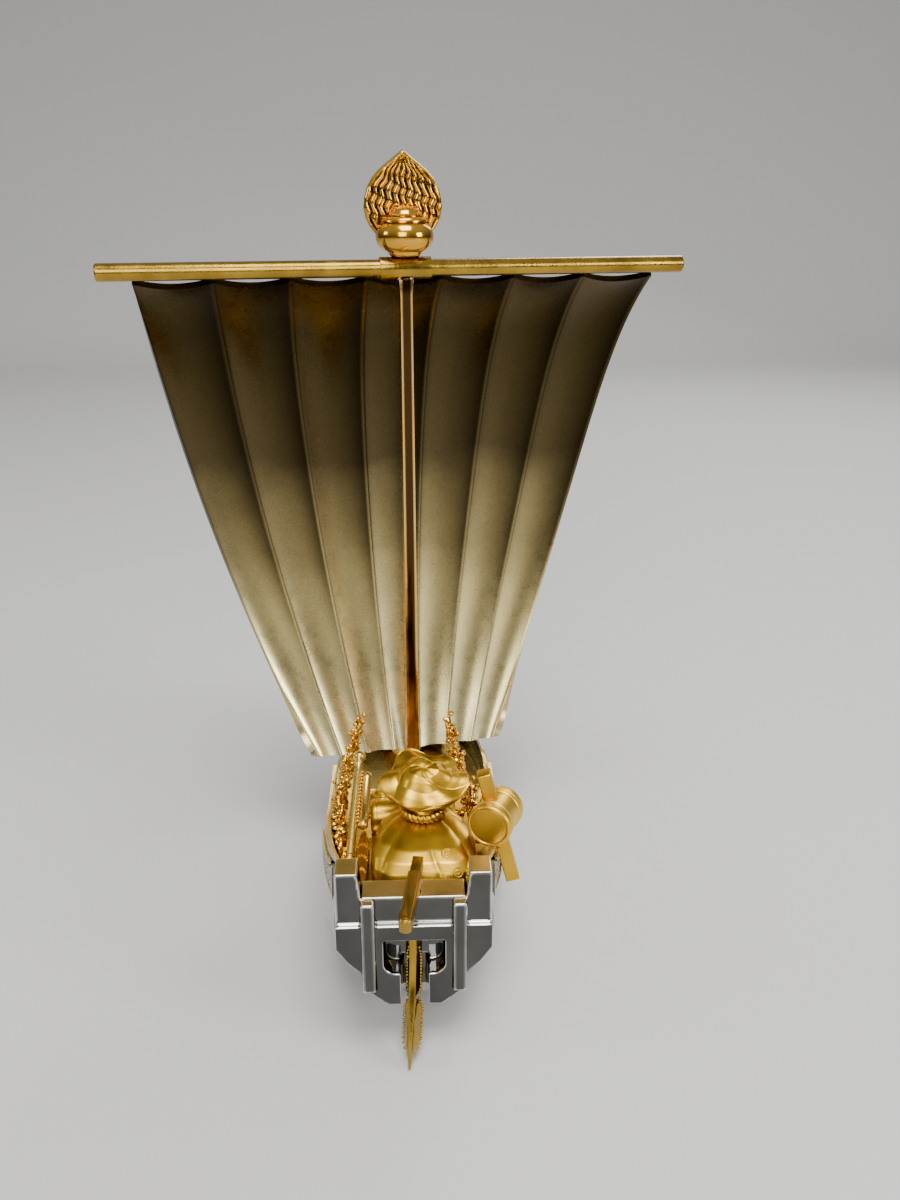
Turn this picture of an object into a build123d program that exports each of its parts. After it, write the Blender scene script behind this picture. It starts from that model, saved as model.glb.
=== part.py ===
"""Treasure-ship table ornament: a cast hull with its cargo, a turning rig and a steering rudder.

Frame: millimetres, origin on the table under the mast axis, +Y to the bow, +X to starboard, +Z up.
"""
from build123d import *
import math
import os

os.makedirs("parts", exist_ok=True)

# ---- fits and gaps
RUN_FIT = 0.05           # radial clearance of a shaft that turns in its bore
SEAT_GAP = 0.1           # gap between glued or soldered pieces that only seat on each other
BODY_GAP = 0.35          # gap between pieces that move past each other

# ---- hull
WALL = 1.6               # cast wall of the hull and the bulwarks
KEEL_THICK = 1.2         # flat keel plank that the ornament stands on
KEEL_HALF = 9.0
KEEL_AFT = -50.0
KEEL_FWD = 30.0
HULL_AFT = -68.6         # where the side castings meet the transom block
FORM_TOP = 52.0          # height to which the side form is drawn before it is cut to the rails
TUMBLEHOME = 0.026       # share of the beam that the form loses at its top
DECK_TOP = 20.0
DECK_THICK = 1.6
DECK_FWD = 50.0
HULL_FLOOR = 3.0         # height of the hull's inside bottom amidships

# station: distance along the hull, half beam at the sheer, half width of the flat bottom,
# height of the bottom, height of the sheer
STATIONS = [
    (HULL_AFT, 18.2, 6.6, 9.5, 35.0),
    (-55.0, 21.2, 8.0, 1.8, 31.0),
    (-32.0, 23.2, 9.5, -0.8, 27.5),
    (0.0, 23.0, 9.5, -0.8, 26.0),
    (25.0, 20.0, 7.5, -0.8, 26.5),
    (45.0, 11.5, 3.6, 2.0, 30.5),
    (58.0, 4.4, 1.7, 6.0, 36.0),
    (70.0, 1.9, 1.3, 16.0, 42.0),
]
SHEER_SIDE = [(HULL_AFT, 35.0), (-32.0, 27.5), (0.0, 26.0), (25.0, 26.5), (45.0, 30.5), (65.2, 40.0)]

# ---- bulwark rails: each length has the height of its two ends
RAIL_AFT_END = -41.0
RAIL_MID_END = -8.0
RAIL_FORE_END = 31.0
RAIL_POST_HEIGHT = 48.3
RAIL_SAG_Y = -58.0
RAIL_SAG_HEIGHT = 43.8
RAIL_AFT_HEIGHT = 42.4
RAIL_MID_HEIGHT = 37.5
RAIL_FORE_HEIGHT = 30.4
RAIL_BOW_START = 34.0
CARGO_DECK_TOP = 34.0    # raised deck over the stern, which carries the cargo
CARGO_DECK_FWD = -16.0

# ---- relief panels on the aft bulwarks
PANEL_THICK = 0.7
PANEL_AFT = -66.5
PANEL_FWD = -44.0
PANEL_MARGIN = 1.8

# ---- stem
STEM_THICK = 3.4
STEM_TOP_Y = 71.5
STEM_TOP_Z = 57.0
STEM_RISE = 0.02         # slope of the stem's front where it leaves the table
STEM_RAKE = 0.15         # how far the stem's front leans forward at its top, per unit of height
STEM_FRONT = [(36.0, 0.0), (53.5, 2.2), (62.9, 12.6), (67.3, 28.0), (69.6, 44.0)]
STEM_LINE = [(40.0, KEEL_THICK), (52.0, 4.5), (60.0, 14.0), (64.0, 28.0), (66.0, 48.0)]

# ---- transom
TRANSOM_AFT = -76.5
TRANSOM_HALF = 18.0
POST_AFT = -75.2
POST_INNER_TOP = 12.7
POST_INNER_FOOT = 11.3
LEDGE_HEIGHT = 35.0
STILE_AFT = -77.6
STILE_OUT = 12.0
STILE_IN = 9.0
STILE_FOOT = 17.0
STILE_TOP = 41.6
STILE_SINK = 1.4         # how far the stiles run into the transom block
BEAM_TOP = 42.0
RECESS_HALF = 7.1
RECESS_LOW = 21.4
RECESS_HIGH = 30.8
RECESS_DEPTH = 5.2
RECESS_CORNER = 3.0
SLOT_HALF = 3.3
SLOT_FWD = -69.6

# ---- rudder and tiller
STOCK_Y = -73.0
STOCK_R = 1.5
STOCK_SQUARE = 1.8       # side of the stock's square head, which carries the tiller
RUDDER_TURN = -7.5       # rest angle of the rudder about +Z, tiller end to port
BLADE_THICK = 1.8
BLADE_LEAD = 1.2         # how far the blade's head reaches forward of the stock axis
BLADE_TOP = RECESS_HIGH - 0.5
TIP_Y = -85.0
TIP_Z = 0.7
BLADE_HEEL = (-71.0, 11.0)
TILLER_WIDTH = 3.1
TILLER_HEIGHT = 3.2
TILLER_AFT = 13.6        # from the stock axis to the centre of the rounded end
TILLER_FWD = 3.2
TENON_LENGTH = 5.8
TENON_WIDTH = 2.5
TENON_HEIGHT = 2.4
TILLER_PIN_R = 0.5

# ---- mast and its step
SAIL_TURN = 10.5         # rest angle of the rig about +Z, port end aft
STEP_R = 5.0
STEP_HEIGHT = 6.0
TENON_R = 1.55
MAST_FOOT_SIDE = 3.5
MAST_HEAD_SIDE = 3.0
MAST_HEAD_LENGTH = 3.8
MAST_HEAD_FLARE = 3.8
SPIGOT_R = 1.2

# ---- yard
YARD_Z = 173.0
YARD_R = 2.1
YARD_HALF = 73.5
BOSS_R = 2.7
BOSS_HALF = 6.4

# ---- sail
SAIL_BOTTOM = 33.0
SAIL_TOP_HALF = 65.4
SAIL_TAPER = 17.1        # narrowing of the half width that grows with the drop
SAIL_FLARE = 20.4        # narrowing that grows with its square
SAIL_BELLY = 23.8
SAIL_RISE = 0.145        # share of the drop in which the belly builds up
SAIL_TUCK = 0.65         # share of the belly lost again at the foot
SAIL_PANELS = 7
SAIL_THICK = 1.6
GUTTER_DEPTH = 0.11      # depth of a panel's gutter, as a share of the panel's width
SAIL_LEVELS = [0.0, 0.03, 0.08, 0.16, 0.3, 0.46, 0.62, 0.78, 0.9, 1.0]

# ---- finial
FINIAL_NECK_R = 4.3
FINIAL_POT_R = 7.2
FINIAL_DOME_R = 5.2
FINIAL_BASE = YARD_Z + BOSS_R
FINIAL_NECK_TOP = FINIAL_BASE + 2.0
FINIAL_POT_TOP = FINIAL_NECK_TOP + 5.5
FINIAL_DOME_TOP = FINIAL_POT_TOP + 4.8
FLAME_THICK = 2.4
FLAME_BACK = 0.4         # how far the flame's aft face lies forward of the mast axis
FLAME_LOW = FINIAL_POT_TOP - 3.0
FLAME_TIP = FLAME_LOW + 19.8
FLAME_HALF = 9.8
FLAME_FOOT_HALF = 6.5
FLAME_SHOULDER_HALF = 7.2
FLAME_WIDE_Z = FLAME_LOW + 6.7
FLAME_SHOULDER_Z = FLAME_WIDE_Z + 7.4

# ---- cargo
SACK_X = 2.6
SACK_Y = -55.5
NECK_Y = -46.0
SACK_NECK_Z = CARGO_DECK_TOP + 11.6
SACK_CORNER = 4.0
# sack level: height over the cargo deck, width, depth, distance along the hull
SACK_LEVELS = [
    (0.0, 22.0, 17.0, SACK_Y),
    (2.5, 25.6, 20.6, SACK_Y),
    (5.5, 25.6, 20.0, SACK_Y + 0.2),
    (8.4, 19.0, 16.0, SACK_Y + 3.6),
    (SACK_NECK_Z - CARGO_DECK_TOP, 9.6, 9.6, NECK_Y),
]
CORD_R = 6.2
CORD_TUBE = 1.1
RUFFLE_R = 10.8
RUFFLE_TOP = SACK_NECK_Z + 12.4
RUFFLE_Y = -40.5

ROLL_Y = -36.0
ROLL_R = 4.2
ROLL_Z = CARGO_DECK_TOP + ROLL_R + 0.05
ROLL_HALF = 11.0
ROLLER_R = 1.3
ROLLER_HALF = 13.6

MALLET_NEAR = Vector(17.9, -60.0, RAIL_SAG_HEIGHT + 6.2)
MALLET_FAR = Vector(22.4, -49.2, RAIL_SAG_HEIGHT + 5.4)
MALLET_R = 5.1
MALLET_BAND = 0.35       # how far the two end rims stand out
MALLET_BAND_WIDE = 2.2
HANDLE_HEAD = Vector(17.1, -53.3, RAIL_SAG_HEIGHT + 17.2)
HANDLE_END = Vector(24.6, -55.0, RAIL_SAG_HEIGHT - 11.8)
HANDLE_WIDE = 4.0
HANDLE_DEEP = 3.4

STAFF_KNOB = Vector(-13.9, -28.0, CARGO_DECK_TOP + 17.3)
STAFF_FOOT = Vector(-16.0, -62.0, CARGO_DECK_TOP + 1.6)
STAFF_R = 1.0
KNOB_R = 1.65
SCROLL_SHIFT = 2.5       # how far inboard of the staff the scroll lies
SCROLL_R = 1.3
SCROLL_START = 5.0
SCROLL_LENGTH = 16.5

RAINCOAT_X = -12.5
RAINCOAT_AFT = -66.0
RAINCOAT_FWD = -43.0
RAINCOAT_RISE = 3.6
RAINCOAT_HALF = 1.7

HAT_X = -8.2
HAT_Y = -24.2
HAT_R = 7.0
HAT_HEIGHT = 5.6
HAT_THICK = 0.9
HAT_CROWN_R = 0.9

CORAL_R = 1.5
BALE_R = 4.9
BALE_LENGTH = 13.0
BALE_Y = 31.0
BALE_TAPER = 0.5
BALE_ROPE = 0.6
ROPE_WIDE = 0.9
ROPE_PLACES = (0.28, 0.72)
SCREW_R = 1.2
SCREW_HEAD_R = 2.3
SCREW_HEAD = KEEL_THICK
SCREW_SLOT = 0.6
SCREW_PLACES = [(0.0, -40.0), (0.0, 18.0)]
BOSS_POST_R = 3.0


def save(part, name):
    """Label one finished piece and write its STEP file."""
    part.label = name
    export_step(part, f"parts/{name}.step")


def turned(part, angle, y=0.0):
    """The piece turned about a vertical axis through (0, y)."""
    return part.rotate(Axis((0, y, 0), (0, 0, 1)), angle)


def hull_section(station, inset, drop):
    """Half-round hull section with a flat bottom and a straight topside, closed at the top."""
    along, half_beam, half_keel, keel_z, sheer_z = station
    beam = half_beam - inset
    keel = half_keel - inset * 0.7
    low = keel_z + drop
    head = beam * (1 - TUMBLEHOME)
    with BuildSketch(Plane.XZ.offset(-along)) as section:
        with BuildLine():
            bilge = (keel + (beam - keel) * 0.74, low + (sheer_z - low) * 0.3)
            port_bilge = (-bilge[0], bilge[1])
            Line((-keel, low), (keel, low))
            ThreePointArc((keel, low), bilge, (beam, sheer_z))
            Line((beam, sheer_z), (head, FORM_TOP))
            Line((head, FORM_TOP), (-head, FORM_TOP))
            Line((-head, FORM_TOP), (-beam, sheer_z))
            ThreePointArc((-beam, sheer_z), port_bilge, (-keel, low))
        make_face()
    return section.sketch


def hull_form(inset, drop):
    """The hull's form, drawn in by inset at the sides and raised by drop at the bottom."""
    return loft([hull_section(station, inset, drop) for station in STATIONS])


def side_prism(points, x_low, x_high):
    """A prism of a side-view outline (y, z) between two planes across the ship."""
    with BuildPart() as prism:
        with BuildSketch(Plane.YZ.offset(x_low)):
            with BuildLine():
                Polyline(*points, close=True)
            make_face()
        extrude(amount=x_high - x_low)
    return prism.part


handle_axis = HANDLE_END - HANDLE_HEAD
handle_plane = Plane(origin=HANDLE_HEAD, x_dir=(0, 1, 0), z_dir=handle_axis)


def handle_bar(clearance):
    """The mallet's handle from end to end, drawn larger by clearance on each side."""
    with BuildPart() as bar:
        with BuildSketch(handle_plane):
            Rectangle(HANDLE_WIDE + 2 * clearance, HANDLE_DEEP + 2 * clearance)
        extrude(amount=handle_axis.length)
    return bar.part


BEYOND = 40.0            # half width of the cutting prisms, wider than the hull
outer_form = hull_form(0.0, 0.0)
inner_form = hull_form(WALL, HULL_FLOOR - STATIONS[3][3])
panel_form = hull_form(-PANEL_THICK, 0.0)

below_sheer = [(-90.0, KEEL_THICK)] + STEM_LINE[:-1] + SHEER_SIDE[::-1] + [(-90.0, SHEER_SIDE[0][1])]
rail_outline = SHEER_SIDE + [
    STEM_LINE[-1],
    (RAIL_BOW_START, RAIL_FORE_HEIGHT + 3.0),
    (RAIL_FORE_END, RAIL_FORE_HEIGHT),
    (RAIL_MID_END, RAIL_FORE_HEIGHT),
    (RAIL_MID_END, RAIL_MID_HEIGHT),
    (RAIL_AFT_END, RAIL_MID_HEIGHT + 1.0),
    (RAIL_AFT_END, RAIL_AFT_HEIGHT),
    (RAIL_SAG_Y, RAIL_SAG_HEIGHT),
    (HULL_AFT, RAIL_POST_HEIGHT - 1.2),
]

# ---- stem post: a curved blade that closes the bow
with BuildPart() as stem_post:
    with BuildSketch(Plane.YZ.offset(-STEM_THICK / 2)):
        with BuildLine():
            Spline(*STEM_FRONT, (STEM_TOP_Y, STEM_TOP_Z), tangents=[(1.0, STEM_RISE), (STEM_RAKE, 1.0)])
            Line((STEM_TOP_Y, STEM_TOP_Z), (STEM_TOP_Y - 4.0, STEM_TOP_Z - 1.2))
            Line((STEM_TOP_Y - 4.0, STEM_TOP_Z - 1.2), STEM_LINE[-1])
            Polyline(*STEM_LINE[::-1])
            Line(STEM_LINE[0], (STEM_FRONT[0][0], KEEL_THICK))
            Line((STEM_FRONT[0][0], KEEL_THICK), STEM_FRONT[0])
        make_face()
    extrude(amount=STEM_THICK)
save(stem_post.part, "stem_post")

# ---- keel plank
with BuildPart() as keel_plank:
    with BuildSketch(Plane.XY):
        with Locations((0.0, (KEEL_AFT + KEEL_FWD) / 2)):
            SlotOverall(KEEL_FWD - KEEL_AFT, KEEL_HALF * 2, rotation=90)
    extrude(amount=KEEL_THICK)
    with BuildSketch(Plane.XY):
        with Locations(*SCREW_PLACES):
            Circle(SCREW_HEAD_R + SEAT_GAP)
    extrude(amount=KEEL_THICK, mode=Mode.SUBTRACT)
save(keel_plank.part, "keel_plank")

# ---- two side castings, soldered along the keel and the stem
for side, x_low, x_high in (("port", -BEYOND, 0.0), ("starboard", 0.0, BEYOND)):
    with BuildPart() as hull_half:
        add(outer_form)
        add(side_prism(below_sheer, x_low, x_high), mode=Mode.INTERSECT)
        add(inner_form, mode=Mode.SUBTRACT)
        add(stem_post.part, mode=Mode.SUBTRACT)
        with BuildSketch(Plane.XY):
            with Locations(*SCREW_PLACES):
                Circle(SCREW_R + SEAT_GAP)
        extrude(amount=DECK_TOP - DECK_THICK, mode=Mode.SUBTRACT)
    save(hull_half.part, f"hull_{side}_half")

    with BuildPart() as bulwark:
        add(outer_form)
        add(side_prism(rail_outline, x_low, x_high), mode=Mode.INTERSECT)
        add(inner_form, mode=Mode.SUBTRACT)
        add(stem_post.part, mode=Mode.SUBTRACT)
        if side == "starboard":
            add(handle_bar(SEAT_GAP), mode=Mode.SUBTRACT)
    save(bulwark.part, f"{side}_bulwark")

    panel_outline = [
        (PANEL_AFT, LEDGE_HEIGHT),
        (PANEL_FWD, LEDGE_HEIGHT - 4.0),
        (PANEL_FWD, RAIL_AFT_HEIGHT - PANEL_MARGIN),
        (RAIL_SAG_Y, RAIL_SAG_HEIGHT - PANEL_MARGIN),
        (PANEL_AFT, RAIL_POST_HEIGHT - 2.0 - PANEL_MARGIN),
    ]
    with BuildPart() as relief:
        add(panel_form)
        add(outer_form, mode=Mode.SUBTRACT)
        add(side_prism(panel_outline, x_low, x_high), mode=Mode.INTERSECT)
        if side == "starboard":
            add(handle_bar(SEAT_GAP), mode=Mode.SUBTRACT)
    save(relief.part, f"{side}_relief")

# ---- transom block with its corner posts, stiles, recess and rudder slot
with BuildPart() as transom:
    with BuildSketch(Plane.XZ.offset(-TRANSOM_AFT)):
        with BuildLine():
            half = [
                (6.4, 12.5),
                (11.3, 16.5),
                (12.4, 21.6),
                (15.6, 24.8),
                (TRANSOM_HALF, 28.5),
                (TRANSOM_HALF, LEDGE_HEIGHT),
            ]
            Polyline(*half, *[(-x, z) for x, z in half[::-1]], close=True)
        make_face()
    extrude(amount=TRANSOM_AFT - HULL_AFT + SEAT_GAP)
    for hand in (-1, 1):
        with BuildSketch(Plane.XZ.offset(-POST_AFT)):
            with BuildLine():
                Polyline(
                    (hand * TRANSOM_HALF, LEDGE_HEIGHT),
                    (hand * (TRANSOM_HALF - 0.2), RAIL_POST_HEIGHT),
                    (hand * POST_INNER_TOP, RAIL_POST_HEIGHT),
                    (hand * POST_INNER_FOOT, LEDGE_HEIGHT),
                    close=True,
                )
            make_face()
        extrude(amount=POST_AFT - HULL_AFT + SEAT_GAP)
        with BuildSketch(Plane.XZ.offset(-STILE_AFT)):
            with Locations((hand * (STILE_OUT + STILE_IN) / 2, (STILE_TOP + STILE_FOOT) / 2)):
                Rectangle(STILE_OUT - STILE_IN, STILE_TOP - STILE_FOOT)
        extrude(amount=STILE_AFT - TRANSOM_AFT - STILE_SINK)
    with BuildSketch(Plane.XZ.offset(-STILE_AFT)):
        with Locations((0.0, (RECESS_LOW + RECESS_HIGH) / 2)):
            Rectangle(RECESS_HALF * 2, RECESS_HIGH - RECESS_LOW)
    extrude(amount=STILE_AFT - TRANSOM_AFT - RECESS_DEPTH, mode=Mode.SUBTRACT)
    along_edges = transom.edges().filter_by(Axis.Y)
    low_edges = along_edges.filter_by_position(Axis.Z, RECESS_LOW - 0.01, RECESS_LOW + 0.01)
    recess_corners = low_edges.filter_by(lambda edge: abs(abs(edge.center().X) - RECESS_HALF) < 0.01)
    fillet(recess_corners, radius=RECESS_CORNER)
    slot_floor = RECESS_LOW + RECESS_CORNER / 2
    with BuildSketch(Plane.XY.offset(slot_floor)):
        with Locations((0.0, (STILE_AFT + SLOT_FWD) / 2)):
            Rectangle(SLOT_HALF * 2, SLOT_FWD - STILE_AFT)
    extrude(amount=-slot_floor, mode=Mode.SUBTRACT)
    with BuildSketch(Plane.XY.offset(LEDGE_HEIGHT)):
        with Locations((0.0, STOCK_Y)):
            Circle(STOCK_R + RUN_FIT)
    extrude(amount=RECESS_LOW - LEDGE_HEIGHT, mode=Mode.SUBTRACT)
save(transom.part, "transom")

# ---- cross beam between the posts, over the transom
with BuildPart() as cross_beam:
    with BuildSketch(Plane.XZ.offset(-POST_AFT)):
        with BuildLine():
            foot = POST_INNER_FOOT - SEAT_GAP
            slope = (POST_INNER_TOP - POST_INNER_FOOT) / (RAIL_POST_HEIGHT - LEDGE_HEIGHT)
            head = foot + slope * (BEAM_TOP - LEDGE_HEIGHT)
            Polyline(
                (-foot, LEDGE_HEIGHT), (foot, LEDGE_HEIGHT), (head, BEAM_TOP), (-head, BEAM_TOP), close=True
            )
        make_face()
    extrude(amount=POST_AFT - HULL_AFT)
    add(transom.part, mode=Mode.SUBTRACT)
    with BuildSketch(Plane.XY.offset(BEAM_TOP)):
        with Locations((0.0, STOCK_Y)):
            Circle(STOCK_R + RUN_FIT)
    extrude(amount=LEDGE_HEIGHT - BEAM_TOP, mode=Mode.SUBTRACT)
save(cross_beam.part, "cross_beam")

# ---- deck plate, cut to the inside of the hull, with two screw posts under it
with BuildPart() as deck_plate:
    add(hull_form(WALL + SEAT_GAP, HULL_FLOOR - STATIONS[3][3] + SEAT_GAP))
    with BuildSketch(Plane.XY.offset(DECK_TOP - DECK_THICK)):
        with Locations((0.0, (HULL_AFT + DECK_FWD) / 2)):
            Rectangle(BEYOND * 2, DECK_FWD - HULL_AFT - 2 * SEAT_GAP)
    extrude(amount=DECK_THICK, mode=Mode.INTERSECT)
    with BuildSketch(Plane.XY.offset(DECK_TOP - DECK_THICK)):
        with Locations(*SCREW_PLACES):
            Circle(BOSS_POST_R)
    extrude(amount=HULL_FLOOR + 5 * SEAT_GAP - DECK_TOP + DECK_THICK)
    with BuildSketch(Plane.XY):
        with Locations(*SCREW_PLACES):
            Circle(SCREW_R + RUN_FIT)
    extrude(amount=DECK_TOP - DECK_THICK, mode=Mode.SUBTRACT)
    with BuildSketch(Plane.XY):
        Circle(TENON_R + RUN_FIT)
    extrude(amount=DECK_TOP, mode=Mode.SUBTRACT)
save(deck_plate.part, "deck_plate")

with BuildPart() as deck_screws:
    for x, y in SCREW_PLACES:
        with BuildSketch(Plane.XY.offset(SEAT_GAP)):
            with Locations((x, y)):
                Circle(SCREW_HEAD_R)
        extrude(amount=SCREW_HEAD - 2 * SEAT_GAP)
        with BuildSketch(Plane.XY.offset(SCREW_HEAD - SEAT_GAP)):
            with Locations((x, y)):
                Circle(SCREW_R)
        extrude(amount=DECK_TOP - DECK_THICK - SCREW_HEAD - SCREW_R)
        with BuildSketch(Plane.XY.offset(SEAT_GAP)):
            with Locations((x, y)):
                Rectangle(SCREW_HEAD_R * 1.6, SCREW_SLOT)
        extrude(amount=0.5, mode=Mode.SUBTRACT)
save(deck_screws.part, "deck_screws")

# ---- raised cargo deck with the bulkhead that closes the space below it
with BuildPart() as cargo_deck:
    add(hull_form(WALL + SEAT_GAP, HULL_FLOOR - STATIONS[3][3]))
    with BuildSketch(Plane.XY.offset(CARGO_DECK_TOP - DECK_THICK)):
        with Locations((0.0, (HULL_AFT + CARGO_DECK_FWD) / 2)):
            Rectangle(BEYOND * 2, CARGO_DECK_FWD - HULL_AFT - 2 * SEAT_GAP)
    extrude(amount=DECK_THICK, mode=Mode.INTERSECT)
save(cargo_deck.part, "cargo_deck")

with BuildPart() as bulkhead:
    add(hull_form(WALL + SEAT_GAP, HULL_FLOOR - STATIONS[3][3]))
    with BuildSketch(Plane.XY.offset(DECK_TOP + SEAT_GAP)):
        with Locations((0.0, CARGO_DECK_FWD - WALL)):
            Rectangle(BEYOND * 2, WALL)
    extrude(amount=CARGO_DECK_TOP - DECK_THICK - DECK_TOP - 2 * SEAT_GAP, mode=Mode.INTERSECT)
save(bulkhead.part, "bulkhead")

# ---- mast step on the deck
STEP_TOP = DECK_TOP + STEP_HEIGHT
with BuildPart() as mast_step:
    with BuildSketch(Plane.XY.offset(DECK_TOP)):
        Circle(STEP_R)
    with BuildSketch(Plane.XY.offset(STEP_TOP)):
        Circle(STEP_R - 0.8)
    loft()
    with BuildSketch(Plane.XY.offset(DECK_TOP)):
        Circle(TENON_R + RUN_FIT)
    extrude(amount=STEP_HEIGHT, mode=Mode.SUBTRACT)
save(mast_step.part, "mast_step")

# ---- rudder blade, stock and tiller, modelled square to the ship and then turned to rest
with BuildPart() as rudder_blade:
    with BuildSketch(Plane.YZ.offset(-BLADE_THICK / 2)):
        with BuildLine():
            Line((STOCK_Y + BLADE_LEAD, BLADE_TOP), (STOCK_Y - 2.3, BLADE_TOP))
            Spline((STOCK_Y - 2.3, BLADE_TOP), (-77.8, 19.0), (-81.6, 10.0), (TIP_Y, TIP_Z))
            ThreePointArc((TIP_Y, TIP_Z), (-77.2, 4.0), BLADE_HEEL)
            Line(BLADE_HEEL, (STOCK_Y + BLADE_LEAD, BLADE_TOP))
        make_face()
    extrude(amount=BLADE_THICK)
save(turned(rudder_blade.part, RUDDER_TURN, STOCK_Y), "rudder_blade")

TILLER_BASE = BEAM_TOP + BODY_GAP
TILLER_TOP = TILLER_BASE + TILLER_HEIGHT
with BuildPart() as rudder_stock:
    with BuildSketch(Plane.XY.offset(BLADE_TOP)):
        with Locations((0.0, STOCK_Y)):
            Circle(STOCK_R)
    extrude(amount=TILLER_BASE - BLADE_TOP)
    with BuildSketch(Plane.XY.offset(TILLER_BASE)):
        with Locations((0.0, STOCK_Y)):
            Rectangle(STOCK_SQUARE, STOCK_SQUARE)
    extrude(amount=TILLER_HEIGHT * 0.7)
save(turned(rudder_stock.part, RUDDER_TURN, STOCK_Y), "rudder_stock")

with BuildPart() as tiller:
    with BuildSketch(Plane.XY.offset(TILLER_BASE)):
        with Locations((0.0, STOCK_Y + (TILLER_FWD - TILLER_AFT) / 2)):
            Rectangle(TILLER_WIDTH, TILLER_FWD + TILLER_AFT)
        with Locations((0.0, STOCK_Y - TILLER_AFT)):
            Circle(TILLER_WIDTH / 2)
    extrude(amount=TILLER_HEIGHT)
    chamfer(tiller.edges().group_by(Axis.Z)[-1], length=0.45)
    with BuildSketch(Plane.XY.offset(TILLER_BASE + (TILLER_HEIGHT - TENON_HEIGHT) / 2)):
        with Locations((0.0, STOCK_Y + TILLER_FWD + TENON_LENGTH / 2)):
            Rectangle(TENON_WIDTH, TENON_LENGTH)
    extrude(amount=TENON_HEIGHT)
    with BuildSketch(Plane.XY.offset(TILLER_BASE)):
        with Locations((0.0, STOCK_Y)):
            Rectangle(STOCK_SQUARE + 2 * RUN_FIT, STOCK_SQUARE + 2 * RUN_FIT)
    extrude(amount=TILLER_HEIGHT * 0.75, mode=Mode.SUBTRACT)
    with BuildSketch(Plane.XY.offset(TILLER_BASE)):
        with Locations((0.0, STOCK_Y - TILLER_AFT)):
            Circle(TILLER_PIN_R)
    extrude(amount=TILLER_HEIGHT, mode=Mode.SUBTRACT)
save(turned(tiller.part, RUDDER_TURN, STOCK_Y), "tiller")

with BuildPart() as tiller_pin:
    with BuildSketch(Plane.XY.offset(TILLER_BASE)):
        with Locations((0.0, STOCK_Y - TILLER_AFT)):
            Circle(TILLER_PIN_R)
    extrude(amount=TILLER_HEIGHT + 0.2)
save(turned(tiller_pin.part, RUDDER_TURN, STOCK_Y), "tiller_pin")

# ---- mast: round tenon, square shaft, flared head, spigot through the yard
MAST_FOOT = STEP_TOP + SEAT_GAP
MAST_TOP = YARD_Z - BOSS_R
SPIGOT_TOP = FINIAL_NECK_TOP - 1.0
with BuildPart() as mast:
    with BuildSketch(Plane.XY.offset(DECK_TOP - DECK_THICK)):
        Circle(TENON_R)
    extrude(amount=MAST_FOOT - DECK_TOP + DECK_THICK)
    with BuildSketch(Plane.XY.offset(MAST_FOOT)):
        Rectangle(MAST_FOOT_SIDE, MAST_FOOT_SIDE)
    with BuildSketch(Plane.XY.offset(MAST_TOP - MAST_HEAD_LENGTH)):
        Rectangle(MAST_HEAD_SIDE, MAST_HEAD_SIDE)
    loft()
    with BuildSketch(Plane.XY.offset(MAST_TOP - MAST_HEAD_LENGTH)):
        Rectangle(MAST_HEAD_SIDE, MAST_HEAD_SIDE)
    with BuildSketch(Plane.XY.offset(MAST_TOP)):
        Rectangle(MAST_HEAD_FLARE, MAST_HEAD_FLARE)
    loft()
    with BuildSketch(Plane.XY.offset(MAST_TOP)):
        Circle(SPIGOT_R)
    extrude(amount=SPIGOT_TOP - MAST_TOP)
save(turned(mast.part, SAIL_TURN), "mast")

with BuildPart() as yard:
    with BuildSketch(Plane.YZ.offset(-YARD_HALF)):
        with Locations((0.0, YARD_Z)):
            Circle(YARD_R)
    extrude(amount=YARD_HALF * 2)
    chamfer(yard.edges().filter_by(GeomType.CIRCLE), length=0.35)
    with BuildSketch(Plane.YZ.offset(-BOSS_HALF)):
        with Locations((0.0, YARD_Z)):
            Circle(BOSS_R)
    extrude(amount=BOSS_HALF * 2)
    with BuildSketch(Plane.XY.offset(YARD_Z - BOSS_R)):
        Circle(SPIGOT_R + RUN_FIT)
    extrude(amount=BOSS_R * 2, mode=Mode.SUBTRACT)
    with BuildSketch(Plane.XY.offset(YARD_Z - BOSS_R)):
        Rectangle(MAST_HEAD_FLARE + SEAT_GAP, MAST_HEAD_FLARE + SEAT_GAP)
    extrude(amount=0.5, mode=Mode.SUBTRACT)
save(turned(yard.part, SAIL_TURN), "yard")

# ---- sail: seven hollow gutters side by side, narrowing and bellying forward on the way down
SAIL_TOP = YARD_Z - BOSS_R - SEAT_GAP


def sail_section(drop):
    """Level section of the sail, a row of arcs aft and the same row a thickness further forward."""
    half = SAIL_TOP_HALF - SAIL_TAPER * drop - SAIL_FLARE * drop**2
    belly = SAIL_BELLY * (1 - math.exp(-drop / SAIL_RISE)) * (1 - SAIL_TUCK * drop**4)
    panel = 2 * half / SAIL_PANELS
    depth = GUTTER_DEPTH * panel
    height = SAIL_TOP - drop * (SAIL_TOP - SAIL_BOTTOM)
    ridges = [-half + panel * i for i in range(SAIL_PANELS + 1)]
    with BuildSketch(Plane.XY.offset(height)) as section:
        with BuildLine():
            for left, right in zip(ridges, ridges[1:]):
                ThreePointArc((left, belly), ((left + right) / 2, belly + depth), (right, belly))
            Line((half, belly), (half, belly + SAIL_THICK))
            for left, right in zip(ridges[::-1], ridges[-2::-1]):
                middle = ((left + right) / 2, belly + SAIL_THICK + depth)
                ThreePointArc((left, belly + SAIL_THICK), middle, (right, belly + SAIL_THICK))
            Line((-half, belly + SAIL_THICK), (-half, belly))
        make_face()
    return section.sketch


with BuildPart() as sail:
    loft([sail_section(level) for level in SAIL_LEVELS])
save(turned(sail.part, SAIL_TURN), "sail")

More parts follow.
